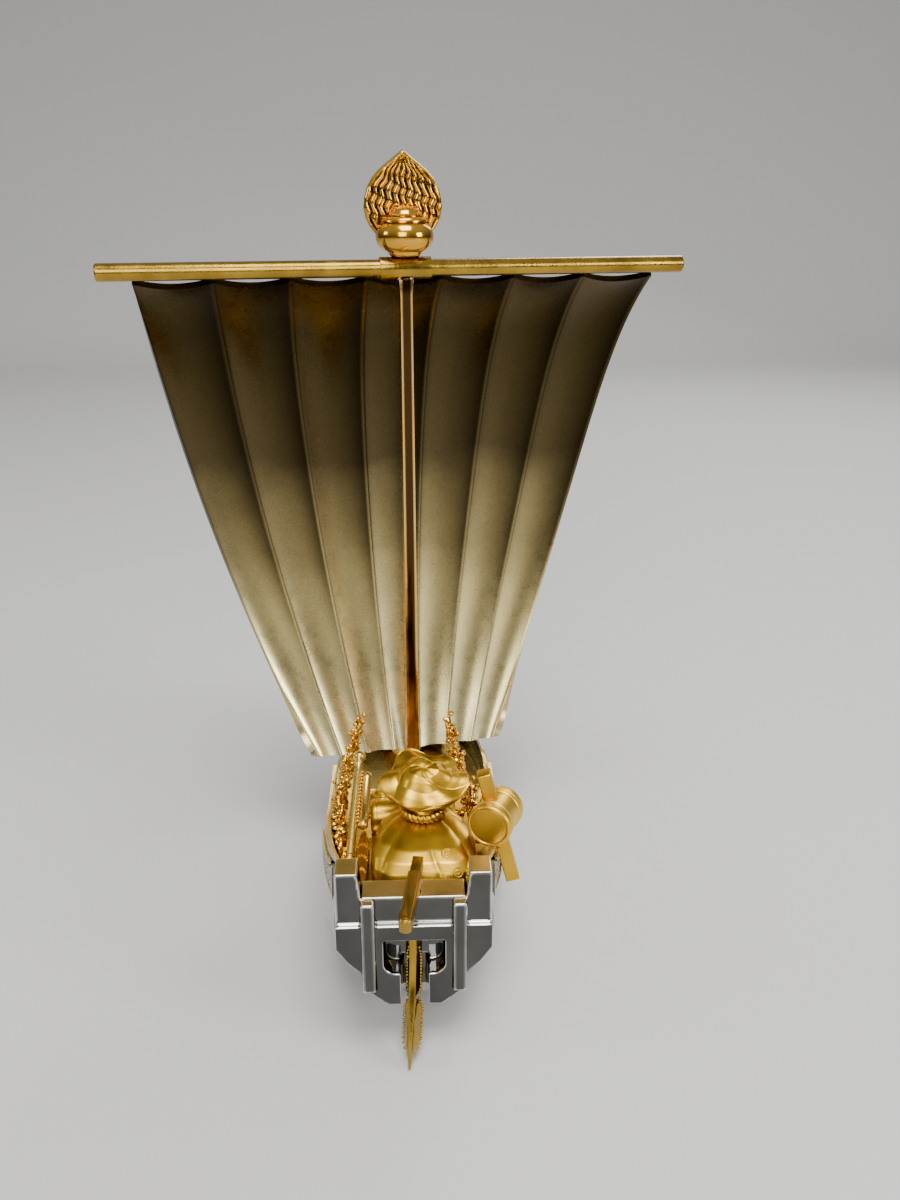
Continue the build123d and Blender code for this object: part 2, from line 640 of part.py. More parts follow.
# ---- finial: neck ring, pot and dome in one turning, with the flame let into its forward side
with BuildPart() as finial_pot:
    with BuildSketch(Plane.XZ):
        with BuildLine():
            Line((0.0, FINIAL_BASE), (FINIAL_NECK_R - 0.5, FINIAL_BASE))
            Line((FINIAL_NECK_R - 0.5, FINIAL_BASE), (FINIAL_NECK_R, FINIAL_BASE + 1.0))
            Line((FINIAL_NECK_R, FINIAL_BASE + 1.0), (FINIAL_NECK_R - 0.6, FINIAL_NECK_TOP))
            ThreePointArc(
                (FINIAL_NECK_R - 0.6, FINIAL_NECK_TOP),
                (FINIAL_POT_R, (FINIAL_NECK_TOP + FINIAL_POT_TOP) / 2),
                (FINIAL_DOME_R - 0.8, FINIAL_POT_TOP),
            )
            Line((FINIAL_DOME_R - 0.8, FINIAL_POT_TOP), (FINIAL_DOME_R, FINIAL_POT_TOP + 0.6))
            ThreePointArc(
                (FINIAL_DOME_R, FINIAL_POT_TOP + 0.6),
                (FINIAL_DOME_R * 0.74, FINIAL_DOME_TOP - 1.2),
                (0.0, FINIAL_DOME_TOP),
            )
            Line((0.0, FINIAL_DOME_TOP), (0.0, FINIAL_BASE))
        make_face()
    revolve(axis=Axis.Z)
    with BuildSketch(Plane.XY.offset(FINIAL_BASE)):
        Circle(SPIGOT_R + RUN_FIT)
    extrude(amount=SPIGOT_TOP + SEAT_GAP - FINIAL_BASE, mode=Mode.SUBTRACT)
    with BuildSketch(Plane.XY.offset(FLAME_LOW - SEAT_GAP)):
        with Locations((0.0, FLAME_BACK - SEAT_GAP + 5.0)):
            Rectangle(30.0, 10.0)
    extrude(amount=10.0, mode=Mode.SUBTRACT)
save(turned(finial_pot.part, SAIL_TURN), "finial_pot")

with BuildPart() as flame_halo:
    with BuildSketch(Plane.XZ.offset(-FLAME_BACK)):
        with BuildLine():
            Line((-FLAME_FOOT_HALF, FLAME_LOW), (FLAME_FOOT_HALF, FLAME_LOW))
            Spline(
                (FLAME_FOOT_HALF, FLAME_LOW),
                (FLAME_HALF, FLAME_WIDE_Z),
                (FLAME_SHOULDER_HALF, FLAME_SHOULDER_Z),
                (0.0, FLAME_TIP),
            )
            Spline(
                (0.0, FLAME_TIP),
                (-FLAME_SHOULDER_HALF, FLAME_SHOULDER_Z),
                (-FLAME_HALF, FLAME_WIDE_Z),
                (-FLAME_FOOT_HALF, FLAME_LOW),
            )
        make_face()
    extrude(amount=-FLAME_THICK)
save(turned(flame_halo.part, SAIL_TURN), "flame_halo")

# ---- treasure sack: broad body, drawn neck, cord and ruffle
with BuildPart() as sack_body:
    for rise, width, depth, y in SACK_LEVELS:
        with BuildSketch(Plane.XY.offset(CARGO_DECK_TOP + rise)):
            with Locations((SACK_X, y)):
                RectangleRounded(width, depth, SACK_CORNER)
    loft(ruled=True)
save(sack_body.part, "sack_body")

with BuildPart() as neck_cord:
    with BuildSketch(Plane.XZ.offset(-NECK_Y)):
        with Locations((SACK_X + CORD_R - CORD_TUBE, SACK_NECK_Z + CORD_TUBE + SEAT_GAP)):
            Circle(CORD_TUBE)
    revolve(axis=Axis((SACK_X, NECK_Y, 0), (0, 0, 1)))
save(neck_cord.part, "neck_cord")

RUFFLE_BASE = SACK_NECK_Z + SEAT_GAP
with BuildPart() as sack_ruffle:
    with BuildSketch(Plane.XY.offset(RUFFLE_BASE)):
        with Locations((SACK_X, NECK_Y)):
            Circle(CORD_R - 2 * CORD_TUBE - SEAT_GAP)
    with BuildSketch(Plane.XY.offset(RUFFLE_BASE + 2 * CORD_TUBE + 0.2)):
        with Locations((SACK_X, NECK_Y)):
            Circle(CORD_R - 2 * CORD_TUBE - SEAT_GAP)
    loft()
    with BuildSketch(Plane.XY.offset(RUFFLE_BASE + 2 * CORD_TUBE + 0.2)):
        with Locations((SACK_X, NECK_Y)):
            Circle(CORD_R - 0.4)
    with BuildSketch(Plane.XY.offset(RUFFLE_TOP - 4.6)):
        with Locations((SACK_X + 0.4, (RUFFLE_Y + NECK_Y) / 2 + 1.0)):
            Ellipse(RUFFLE_R, RUFFLE_R * 0.8)
    with BuildSketch(Plane.XY.offset(RUFFLE_TOP - 1.0)):
        with Locations((SACK_X + 0.8, RUFFLE_Y)):
            Ellipse(RUFFLE_R * 0.6, RUFFLE_R * 0.45)
    loft()
save(sack_ruffle.part, "sack_ruffle")

# ---- brocade roll lying across the hold, with its roller
with BuildPart() as brocade_roll:
    with BuildSketch(Plane.YZ.offset(-ROLL_HALF)):
        with Locations((ROLL_Y, ROLL_Z)):
            Circle(ROLL_R)
    extrude(amount=ROLL_HALF * 2)
    chamfer(brocade_roll.edges().filter_by(GeomType.CIRCLE), length=0.5)
    with BuildSketch(Plane.YZ.offset(-ROLL_HALF)):
        with Locations((ROLL_Y, ROLL_Z)):
            Circle(ROLLER_R + RUN_FIT)
    extrude(amount=ROLL_HALF * 2, mode=Mode.SUBTRACT)
save(brocade_roll.part, "brocade_roll")

with BuildPart() as roller_rod:
    with BuildSketch(Plane.YZ.offset(-ROLLER_HALF)):
        with Locations((ROLL_Y, ROLL_Z)):
            Circle(ROLLER_R)
    extrude(amount=ROLLER_HALF * 2)
    chamfer(roller_rod.edges().filter_by(GeomType.CIRCLE), length=0.3)
save(roller_rod.part, "roller_rod")

# ---- mallet: banded barrel on a handle that passes through it
barrel_axis = MALLET_FAR - MALLET_NEAR
barrel_plane = Plane(origin=MALLET_NEAR, z_dir=barrel_axis)
with BuildPart() as mallet_handle:
    add(handle_bar(0.0))
    chamfer(mallet_handle.edges(), length=0.25)
with BuildPart() as mallet_barrel:
    with BuildSketch(barrel_plane):
        Circle(MALLET_R - MALLET_BAND)
    extrude(amount=barrel_axis.length)
    for start in (0.0, barrel_axis.length - MALLET_BAND_WIDE):
        with BuildSketch(barrel_plane.offset(start)):
            Circle(MALLET_R)
        extrude(amount=MALLET_BAND_WIDE)
    chamfer(mallet_barrel.edges().filter_by(GeomType.CIRCLE).group_by(SortBy.RADIUS)[-1], length=0.3)
    add(handle_bar(RUN_FIT), mode=Mode.SUBTRACT)
save(mallet_handle.part, "mallet_handle")
save(mallet_barrel.part, "mallet_barrel")

# ---- knobbed staff and the scroll beside it, leaning along the port bulwark
staff_axis = STAFF_FOOT - STAFF_KNOB
staff_plane = Plane(origin=STAFF_KNOB, x_dir=(1, 0, 0), z_dir=staff_axis)
with BuildPart() as knobbed_staff:
    with BuildSketch(staff_plane):
        Circle(STAFF_R)
    extrude(amount=staff_axis.length)
    with Locations(staff_plane):
        Sphere(KNOB_R)
save(knobbed_staff.part, "knobbed_staff")

with BuildPart() as scroll:
    with BuildSketch(staff_plane.offset(SCROLL_START)):
        with Locations((SCROLL_SHIFT, 0.0)):
            Circle(SCROLL_R)
    extrude(amount=SCROLL_LENGTH)
    chamfer(scroll.edges().filter_by(GeomType.CIRCLE), length=0.35)
save(scroll.part, "scroll")

# ---- straw raincoat, rolled up, and straw hat
with BuildPart() as straw_raincoat:
    for along, share in (
        (RAINCOAT_AFT, 0.7),
        ((RAINCOAT_AFT + RAINCOAT_FWD) / 2, 1.0),
        (RAINCOAT_FWD, 0.6),
    ):
        with BuildSketch(Plane.XZ.offset(-along)):
            with Locations((RAINCOAT_X, CARGO_DECK_TOP + RAINCOAT_RISE)):
                Ellipse(RAINCOAT_HALF * share, RAINCOAT_RISE * share)
    loft()
save(straw_raincoat.part, "straw_raincoat")

hat_plane = Plane(origin=(HAT_X, HAT_Y, CARGO_DECK_TOP))
with BuildPart() as straw_hat:
    with BuildSketch(hat_plane):
        Circle(HAT_R)
    with BuildSketch(hat_plane.offset(HAT_HEIGHT)):
        Circle(HAT_CROWN_R)
    loft()
    with BuildSketch(hat_plane):
        Circle(HAT_R - HAT_THICK * 1.8)
    with BuildSketch(hat_plane.offset(HAT_HEIGHT - HAT_THICK)):
        Circle(HAT_CROWN_R / 2)
    loft(mode=Mode.SUBTRACT)
save(straw_hat.part, "straw_hat")

# ---- coral: flat branching trees along the two bulwarks, each branch a taper between two joints
# branch: start and end, each as distance along the hull and height over the cargo deck, and its size
CORAL_TREE = [
    ((-60.0, 6.5), (-52.0, 4.0), 0.8),
    ((-52.0, 4.0), (-38.0, 7.0), 1.0),
    ((-46.0, 1.9), (-38.0, 7.0), 1.0),
    ((-38.0, 7.0), (-24.0, 9.0), 0.95),
    ((-24.0, 9.0), (-12.0, 13.5), 0.8),
    ((-12.0, 13.5), (-7.5, 17.4), 0.6),
    ((-52.0, 4.0), (-50.0, 8.5), 0.7),
    ((-38.0, 7.0), (-35.0, 12.0), 0.75),
    ((-24.0, 9.0), (-22.5, 14.6), 0.8),
    ((-24.0, 9.0), (-15.0, 8.0), 0.75),
    ((-12.0, 13.5), (-14.0, 16.6), 0.6),
    ((-38.0, 7.0), (-30.0, 3.5), 0.75),
]
CORAL_STARBOARD_AFT = -47.0


def coral_x(side, along):
    """Distance from the centre line: each tree follows its bulwark and leans inboard further forward."""
    if side == "port":
        return -19.15 + 0.005 * (along + 38.0) ** 2
    return 18.2 - 0.19 * max(0.0, along + 50.0)


for side in ("port", "starboard"):
    with BuildPart() as coral:
        for start, end, size in CORAL_TREE:
            if side == "starboard" and min(start[0], end[0]) < CORAL_STARBOARD_AFT:
                continue
            root = Vector(coral_x(side, start[0]), start[0], CARGO_DECK_TOP + start[1])
            tip = Vector(coral_x(side, end[0]), end[0], CARGO_DECK_TOP + end[1])
            branch = tip - root
            with BuildSketch(Plane(origin=root, z_dir=branch)):
                Circle(CORAL_R * size)
            with BuildSketch(Plane(origin=tip, z_dir=branch)):
                Circle(CORAL_R * size * 0.75)
            loft()
            with Locations(root, tip):
                Sphere(CORAL_R * size * 0.8)
    save(coral.part, f"coral_{side}")

# ---- rice bales on the fore deck: two side by side and one on top, each tied with two ropes
BALE_PLACES = [
    (-BALE_R - 0.3, DECK_TOP + BALE_R + BALE_ROPE),
    (BALE_R + 0.3, DECK_TOP + BALE_R + BALE_ROPE),
    (0.0, DECK_TOP + BALE_R + BALE_ROPE + 1.74 * BALE_R + 0.5),
]
with BuildPart() as rice_bales:
    for x, z in BALE_PLACES:
        with BuildSketch(Plane.XZ.offset(-BALE_Y)):
            with Locations((x, z)):
                Circle(BALE_R - BALE_TAPER)
        with BuildSketch(Plane.XZ.offset(-BALE_Y - BALE_LENGTH / 2)):
            with Locations((x, z)):
                Circle(BALE_R)
        with BuildSketch(Plane.XZ.offset(-BALE_Y - BALE_LENGTH)):
            with Locations((x, z)):
                Circle(BALE_R - BALE_TAPER)
        loft()
save(rice_bales.part, "rice_bales")

with BuildPart() as bale_ropes:
    for x, z in BALE_PLACES:
        for along in ROPE_PLACES:
            y = BALE_Y + along * BALE_LENGTH
            with BuildSketch(Plane.YZ.offset(x)):
                with Locations((y, z + BALE_R - 0.05)):
                    Rectangle(ROPE_WIDE, BALE_ROPE)
            revolve(axis=Axis((x, 0, z), (0, 1, 0)))
    add(rice_bales.part, mode=Mode.SUBTRACT)
save(bale_ropes.part, "bale_ropes")
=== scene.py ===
# %% [markdown]
# # A cast treasure ship, plated in silver and gold
# The ornament is a small boat of mirror silver with a bellied sail, a turning mast and a hold full
# of lucky things. The frame loaded here is the exact construction: hull, mast, joints and sizes.
# The lesson adds the looks piece by piece, and nothing that the frame holds is ever moved.

import math
import random

import bpy
from mathutils import Matrix, Vector
from mathutils.bvhtree import BVHTree


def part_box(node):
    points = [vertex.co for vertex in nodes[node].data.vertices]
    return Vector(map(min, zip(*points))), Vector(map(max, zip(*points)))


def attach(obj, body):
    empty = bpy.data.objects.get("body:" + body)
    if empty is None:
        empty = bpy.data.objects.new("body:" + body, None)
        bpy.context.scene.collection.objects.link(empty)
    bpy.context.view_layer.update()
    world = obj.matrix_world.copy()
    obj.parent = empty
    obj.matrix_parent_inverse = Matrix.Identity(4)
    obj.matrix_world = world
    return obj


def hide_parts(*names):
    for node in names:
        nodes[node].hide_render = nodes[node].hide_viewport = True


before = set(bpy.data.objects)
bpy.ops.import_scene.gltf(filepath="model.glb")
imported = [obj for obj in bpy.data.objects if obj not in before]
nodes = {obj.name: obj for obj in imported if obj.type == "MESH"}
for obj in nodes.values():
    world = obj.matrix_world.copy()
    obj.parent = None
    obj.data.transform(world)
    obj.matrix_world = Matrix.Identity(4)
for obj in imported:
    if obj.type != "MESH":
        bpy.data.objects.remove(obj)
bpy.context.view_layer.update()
MM = 0.001
RIG_TURN = math.radians(10.5)  # how far the mast, yard and sail stand turned at rest
RUDDER_TURN = math.radians(-7.5)  # the same for the rudder and its tiller
STOCK_PLACE = Vector((0.0, -73.0 * MM, 0.0))  # the rudder's upright axis

# %% [markdown]
# ## Working one piece at a time
# An operator acts on whatever is selected, and the loaded frame arrives selected, so every step
# starts from a clean selection. A finished piece keeps its place in its mesh, with the object
# itself at the origin, which is also how patterns on Object coordinates stay put when the ship's
# parts move.


# %% Selection, naming and modifiers
def alone(obj):
    """Make obj the only selected and the active object."""
    if bpy.context.mode != "OBJECT":
        bpy.ops.object.mode_set(mode="OBJECT")
    bpy.ops.object.select_all(action="DESELECT")
    obj.select_set(True)
    bpy.context.view_layer.objects.active = obj


def named(name):
    """Name the object that an operator has just made, and its mesh."""
    obj = bpy.context.object
    obj.name = name
    obj.data.name = name
    return obj


def modified(obj, kind, **settings):
    """Add one modifier with its settings and apply it."""
    alone(obj)
    modifier = obj.modifiers.new(kind.title(), kind)
    for key, value in settings.items():
        setattr(modifier, key, value)
    bpy.ops.object.modifier_apply(modifier=modifier.name)
    return obj


def smoothed(obj, angle=40.0):
    """Shade smooth, with edges sharper than angle kept crisp."""
    alone(obj)
    bpy.ops.object.shade_smooth_by_angle(angle=math.radians(angle))
    return obj


def closed(obj, distance=0.00001):
    """Merge doubles and turn all faces outwards."""
    alone(obj)
    bpy.ops.object.mode_set(mode="EDIT")
    bpy.ops.mesh.select_all(action="SELECT")
    bpy.ops.mesh.remove_doubles(threshold=distance)
    bpy.ops.mesh.normals_make_consistent(inside=False)
    bpy.ops.object.mode_set(mode="OBJECT")
    return obj


def joined(parts, name):
    """Join several objects into one."""
    alone(parts[0])
    for part in parts[1:]:
        part.select_set(True)
    bpy.ops.object.join()
    return named(name)


def turned(obj, angle, pivot=Vector((0.0, 0.0, 0.0))):
    """Turn the mesh about an upright axis through pivot, as the rig and the rudder stand at rest."""
    there, back = Matrix.Translation(pivot), Matrix.Translation(-pivot)
    obj.data.transform(there @ Matrix.Rotation(angle, 4, "Z") @ back)
    obj.data.update()
    return obj


def finished(obj, body, material, *replaced):
    """Give the piece its finish, let it ride on its body and stand for its frame nodes."""
    obj.data.materials.clear()
    obj.data.materials.append(material)
    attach(obj, body)
    if replaced:
        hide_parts(*replaced)
    print(f"{obj.name}: {len(obj.data.polygons)} faces on {body}")
    return obj


# %% [markdown]
# ## Floor, light and camera
# A polished ornament is mostly a picture of the room around it, so the light is part of its finish.
# One broad soft lamp hangs overhead, one stands behind the stern and one to starboard, two weak
# ones open up the port side and the back, and a sky that darkens towards the horizon gives the
# metal something dark to mirror. The floor is plain and pale.

# %% Camera, behind the stern and looking down on it
CAMERA_PLACE = (0.0008, -0.2691, 0.1906)
CAMERA_LOOK = (math.radians(68.5), 0.0, math.radians(-2.2))
bpy.ops.object.camera_add(location=CAMERA_PLACE, rotation=CAMERA_LOOK)
camera = bpy.context.object
camera.data.lens = 31.11
camera.data.clip_start = 0.01
bpy.context.scene.camera = camera
print("camera:", round(camera.data.lens, 2), "mm lens")

# %% Floor with a curved back
FLOOR_HALF = 1.6
SWEEP_START = 1.0
SWEEP_STEEP = 1.9
SWEEP_CURVE = 1.6
bpy.ops.mesh.primitive_plane_add(size=2 * FLOOR_HALF)
floor = named("floor")
bpy.ops.object.mode_set(mode="EDIT")
bpy.ops.mesh.select_all(action="SELECT")
bpy.ops.mesh.subdivide(number_cuts=60)
bpy.ops.object.mode_set(mode="OBJECT")
for vertex in floor.data.vertices:
    beyond = max(0.0, vertex.co.y - SWEEP_START)
    vertex.co.z = SWEEP_STEEP * beyond**SWEEP_CURVE
smoothed(floor, 60.0)
floor_paint = bpy.data.materials.new("pale_floor")
floor_paint.use_nodes = True
floor_shader = floor_paint.node_tree.nodes["Principled BSDF"]
floor_shader.inputs["Base Color"].default_value = (0.62, 0.61, 0.59, 1.0)
floor_shader.inputs["Roughness"].default_value = 0.65
floor.data.materials.append(floor_paint)
print("floor:", len(floor.data.polygons), "faces")


# %% Lamps and sky
def soft_lamp(name, place, aim, size, power):
    """A square area lamp at place that faces aim."""
    bpy.ops.object.light_add(type="AREA", location=place)
    lamp = bpy.context.object
    lamp.name = name
    lamp.data.size = size
    lamp.data.energy = power
    lamp.rotation_euler = (Vector(aim) - Vector(place)).to_track_quat("-Z", "Y").to_euler()


soft_lamp("lamp_overhead", (0.05, -0.3, 0.9), (0.0, -0.02, 0.06), 0.45, 7.5)
soft_lamp("lamp_behind", (-0.15, -1.0, 0.55), (0.0, 0.0, 0.06), 0.5, 5.0)
soft_lamp("lamp_starboard", (0.85, -0.45, 0.42), (0.0, 0.0, 0.09), 0.35, 5.0)
soft_lamp("lamp_port", (-0.9, -0.1, 0.5), (0.0, 0.0, 0.08), 0.2, 1.2)
soft_lamp("lamp_back", (0.4, 0.75, 0.6), (0.0, 0.0, 0.1), 0.35, 3.0)

world = bpy.data.worlds.new("studio_sky")
bpy.context.scene.world = world
world.use_nodes = True
sky = world.node_tree
sky_place = sky.nodes.new("ShaderNodeTexCoord")
sky_split = sky.nodes.new("ShaderNodeSeparateXYZ")
sky_ramp = sky.nodes.new("ShaderNodeValToRGB")
sky_ramp.color_ramp.elements[0].position = 0.0
sky_ramp.color_ramp.elements[0].color = (0.07, 0.07, 0.075, 1.0)
sky_ramp.color_ramp.elements[1].position = 0.7
sky_ramp.color_ramp.elements[1].color = (0.50, 0.50, 0.51, 1.0)
sky.links.new(sky_place.outputs["Generated"], sky_split.inputs[0])
sky.links.new(sky_split.outputs["Z"], sky_ramp.inputs[0])
sky.links.new(sky_ramp.outputs[0], sky.nodes["Background"].inputs["Color"])
sky.nodes["Background"].inputs["Strength"].default_value = 1.0

# %% [markdown]
# ## Plated finishes
# Every finish is a metal: its colour is the tint of its reflections. What tells a cast and plated
# surface from a machined one is small: a fine grain left by the mould, slow drifts in the tint
# where the plating is thicker, and patches that are duller from handling. One recipe makes them
# all, with different amounts of each.


# %% Helpers for material nodes
def node(tree, kind, **settings):
    """Add a node; settings are its properties."""
    made = tree.nodes.new(kind)
    for key, value in settings.items():
        setattr(made, key, value)
    return made


def fed(tree, socket, value):
    """Feed an input with another node's socket, a number or a colour."""
    if isinstance(value, bpy.types.NodeSocket):
        tree.links.new(value, socket)
    else:
        socket.default_value = (*value, 1.0) if isinstance(value, tuple) else value


def object_place(tree):
    """Places on the object, in metres."""
    return node(tree, "ShaderNodeTexCoord").outputs["Object"]


def axis_of(tree, vector, axis):
    """One axis, X, Y or Z, of a vector socket."""
    made = node(tree, "ShaderNodeSeparateXYZ")
    tree.links.new(vector, made.inputs[0])
    return made.outputs[axis]


def stored(tree, name):
    """A number kept on the mesh's points."""
    return node(tree, "ShaderNodeAttribute", attribute_name=name).outputs["Fac"]


def noise(tree, place, scale, detail=3.0, roughness=0.55):
    """Noise over places, scale in features per metre."""
    made = node(tree, "ShaderNodeTexNoise")
    made.inputs["Scale"].default_value = scale
    made.inputs["Detail"].default_value = detail
    made.inputs["Roughness"].default_value = roughness
    tree.links.new(place, made.inputs["Vector"])
    return made.outputs["Fac"]


def spread(tree, value, low, high, start=0.3, end=0.7):
    """Map a value, which runs from start to end, onto low to high."""
    made = node(tree, "ShaderNodeMapRange")
    made.inputs["From Min"].default_value = start
    made.inputs["From Max"].default_value = end
    made.inputs["To Min"].default_value = low
    made.inputs["To Max"].default_value = high
    tree.links.new(value, made.inputs["Value"])
    return made.outputs["Result"]


def calculated(tree, operation, first, second=0.0):
    """Arithmetic on values that are numbers or sockets."""
    made = node(tree, "ShaderNodeMath", operation=operation)
    fed(tree, made.inputs[0], first)
    fed(tree, made.inputs[1], second)
    return made.outputs[0]


def mixed(tree, share, first, second, blend="MIX"):
    """Mix two colours; each is a colour or a socket, share a number or a socket."""
    made = node(tree, "ShaderNodeMix", data_type="RGBA", blend_type=blend)
    fed(tree, made.inputs[0], share)
    fed(tree, made.inputs[6], first)
    fed(tree, made.inputs[7], second)
    return made.outputs[2]


# %% One recipe for plated metal
HANDLING = 3.1  # patches dulled by hands are this much finer than the drift of the tint
GRAIN_STRENGTH = 0.6


def plated(name, bright, dull, gloss, matt, grain_scale, grain_depth, drift_scale=60.0):
    """Plated cast metal: bright and dull tints, roughness from gloss to matt, and a cast grain."""
    material = bpy.data.materials.new(name)
    material.use_nodes = True
    tree = material.node_tree
    shader = tree.nodes["Principled BSDF"]
    shader.inputs["Metallic"].default_value = 1.0
    place = object_place(tree)
    drift = spread(tree, noise(tree, place, drift_scale), 0.0, 1.0)
    tree.links.new(mixed(tree, drift, bright, dull), shader.inputs["Base Color"])
    handled = spread(tree, noise(tree, place, drift_scale * HANDLING, 4.0), gloss, matt)
    tree.links.new(handled, shader.inputs["Roughness"])
    bump = node(tree, "ShaderNodeBump")
    bump.inputs["Strength"].default_value = GRAIN_STRENGTH
    bump.inputs["Distance"].default_value = grain_depth
    tree.links.new(noise(tree, place, grain_scale, 2.0), bump.inputs["Height"])
    tree.links.new(bump.outputs["Normal"], shader.inputs["Normal"])
    return material


def opened(material):
    """A finish's node tree, its shader, and the socket that its tint comes from."""
    tree = material.node_tree
    shader = tree.nodes["Principled BSDF"]
    return tree, shader, shader.inputs["Base Color"].links[0].from_socket


# %% The golds and the screws' steel
polished_gold = plated("polished_gold", (0.76, 0.42, 0.05), (0.56, 0.285, 0.028), 0.10, 0.22, 900.0, 0.00003)
# the cargo gold made brighter for the mallet: painted light, in place of the stronger light from above on its
# faces
mallet_painted_light_gold = plated("mallet_painted_light_gold", (0.82, 0.50, 0.055), (0.70, 0.42, 0.04), 0.32, 0.44, 2600.0, 0.00003)
cargo_gold = plated("cargo_gold", (0.67, 0.39, 0.03), (0.50, 0.28, 0.018), 0.29, 0.38, 2600.0, 0.00003)
yard_gold = plated("yard_gold", (0.42, 0.26, 0.035), (0.22, 0.13, 0.018), 0.14, 0.32, 1500.0, 0.00004, 120.0)
pale_gold = plated("pale_gold", (0.76, 0.53, 0.13), (0.58, 0.38, 0.08), 0.22, 0.34, 2200.0, 0.00003)
rudder_gold = plated("rudder_gold", (0.46, 0.29, 0.035), (0.30, 0.18, 0.02), 0.10, 0.22, 900.0, 0.00003)
tiller_gold = plated("tiller_gold", (0.40, 0.25, 0.05), (0.28, 0.17, 0.03), 0.26, 0.36, 2000.0, 0.00003)
screw_steel = plated("screw_steel", (0.58, 0.58, 0.59), (0.46, 0.46, 0.47), 0.25, 0.4, 1800.0, 0.00002)
print("finishes:", [material.name for material in bpy.data.materials if material.name != "pale_floor"])

# %% [markdown]
# ### Silver with gilded tops
# On the hull the sides are mirror silver, while every upward face, such as the rails, the posts'
# heads and the beam, carries a pale gilding. One material covers both: it mixes the gold in where
# the surface faces up. That keeps the casting one piece, as it really is, instead of laying
# separate gold strips on it. Upright silver carries painted shade, a painted dark reflection, most
# of all at the stern. Where a number kept on the mesh says that an edge stands proud, a painted
# highlight brightens it.


# %% Silver sides, gilded tops
# the silver's brighter tint for upward faces, which carry none of the painted shade of upright faces
UNSHADED_SILVER = (0.80, 0.79, 0.75)
GILT = (0.95, 0.73, 0.32)
THIN_GILT = (0.76, 0.55, 0.20)
GILT_ROUGHNESS = 0.3
# painted highlights for proud edges: a near-white silver and a half-strength one
EDGE_HIGHLIGHT_SILVER = (0.98, 0.96, 0.90)
HALF_HIGHLIGHT_SILVER = (0.55, 0.54, 0.50)


def silvered(name, shade, gilt_from=None):
    """Mirror silver with painted shade, a dark reflection, on upright faces and painted highlights on proud
    edges; upward faces above gilt_from are satin gold.
    """
    # painted shade: upright faces get the darker tint from shade, in place of a dark reflection; upward faces
    # keep the brighter silver
    dark_reflection = (shade, 0.98 * shade, 0.94 * shade)
    darker_reflection = tuple(0.65 * part for part in dark_reflection)
    material = plated(name, dark_reflection, darker_reflection, 0.04, 0.10, 500.0, 0.00002)
    tree, shader, upright = opened(material)
    place = object_place(tree)
    normal = node(tree, "ShaderNodeNewGeometry").outputs["Normal"]
    facing = spread(tree, axis_of(tree, normal, "Z"), 0.0, 1.0, 0.3, 0.7)
    tint = mixed(tree, facing, upright, UNSHADED_SILVER)
    if gilt_from is not None:
        above = spread(tree, axis_of(tree, place, "Z"), 0.0, 1.0, gilt_from, gilt_from + 0.4 * MM)
        gilded = calculated(tree, "MULTIPLY", above, facing)
        patchy = spread(tree, noise(tree, place, 150.0), 0.0, 1.0)
        tint = mixed(tree, gilded, tint, mixed(tree, patchy, GILT, THIN_GILT))
        satin = node(tree, "ShaderNodeMix")
        fed(tree, satin.inputs["Factor"], gilded)
        fed(tree, satin.inputs["A"], shader.inputs["Roughness"].links[0].from_socket)
        fed(tree, satin.inputs["B"], GILT_ROUGHNESS)
        tree.links.new(satin.outputs["Result"], shader.inputs["Roughness"])
    # painted highlight: points that the mesh's edge number marks as proud are brightened towards near-white
    # silver, in patches
    patches = spread(tree, noise(tree, place, 210.0), 0.0, 1.0)
    highlighted_edges = mixed(tree, patches, HALF_HIGHLIGHT_SILVER, EDGE_HIGHLIGHT_SILVER)
    tree.links.new(mixed(tree, stored(tree, "edge"), tint, highlighted_edges), shader.inputs["Base Color"])
    return material


# each shade number is painted shade for upright silver, in place of a dark reflection; it is darkest, 0.10,
# on the stern's transom and beam
mirror_silver = silvered("mirror_silver", 0.42)
gilded_rails = silvered("gilded_rails", 0.42, 30.0 * MM)
gilded_beam = silvered("gilded_beam", 0.10, 38.0 * MM)
print("silvers:", mirror_silver.name, gilded_rails.name, gilded_beam.name)

# %% [markdown]
# ## Cast parts with soft edges
# The transom, beam, bulwarks, stem, mast, yard and tiller have the right shape already, but their
# edges are knife-sharp, and no casting is. There are two ways to soften them. Where the outline has
# many small steps, as at the stern, a bevel has no room, so the piece is cast again: a voxel remesh
# fills the shape with small cells, a smoothing rounds them, and how far each point stands out is
# kept as a number for the finish to brighten as a painted highlight. Plain bars, such as the mast,
# only need a narrow bevel. The copy stands for the original either way.


# %% A merged copy of a frame piece
def merged(source, name):
    """A copy of a frame node with its doubles merged and its flat faces whole."""
    copy = nodes[source].copy()
    copy.data = nodes[source].data.copy()
    copy.parent = None
    copy.matrix_world = Matrix.Identity(4)
    for key in [key for key in copy.keys() if key.startswith("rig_")]:
        del copy[key]
    bpy.context.scene.collection.objects.link(copy)
    alone(copy)
    piece = named(name)
    bpy.ops.object.mode_set(mode="EDIT")
    bpy.ops.mesh.select_all(action="SELECT")
    bpy.ops.mesh.remove_doubles(threshold=0.000005)
    bpy.ops.mesh.dissolve_limited(angle_limit=math.radians(1.0))
    bpy.ops.object.mode_set(mode="OBJECT")
    return piece


# %% Cast again in small cells
HIGHLIGHT_FROM = 0.045  # how far a point stands out from its neighbours, in cells, before it gets a painted highlight
HIGHLIGHT_OVER = 0.07


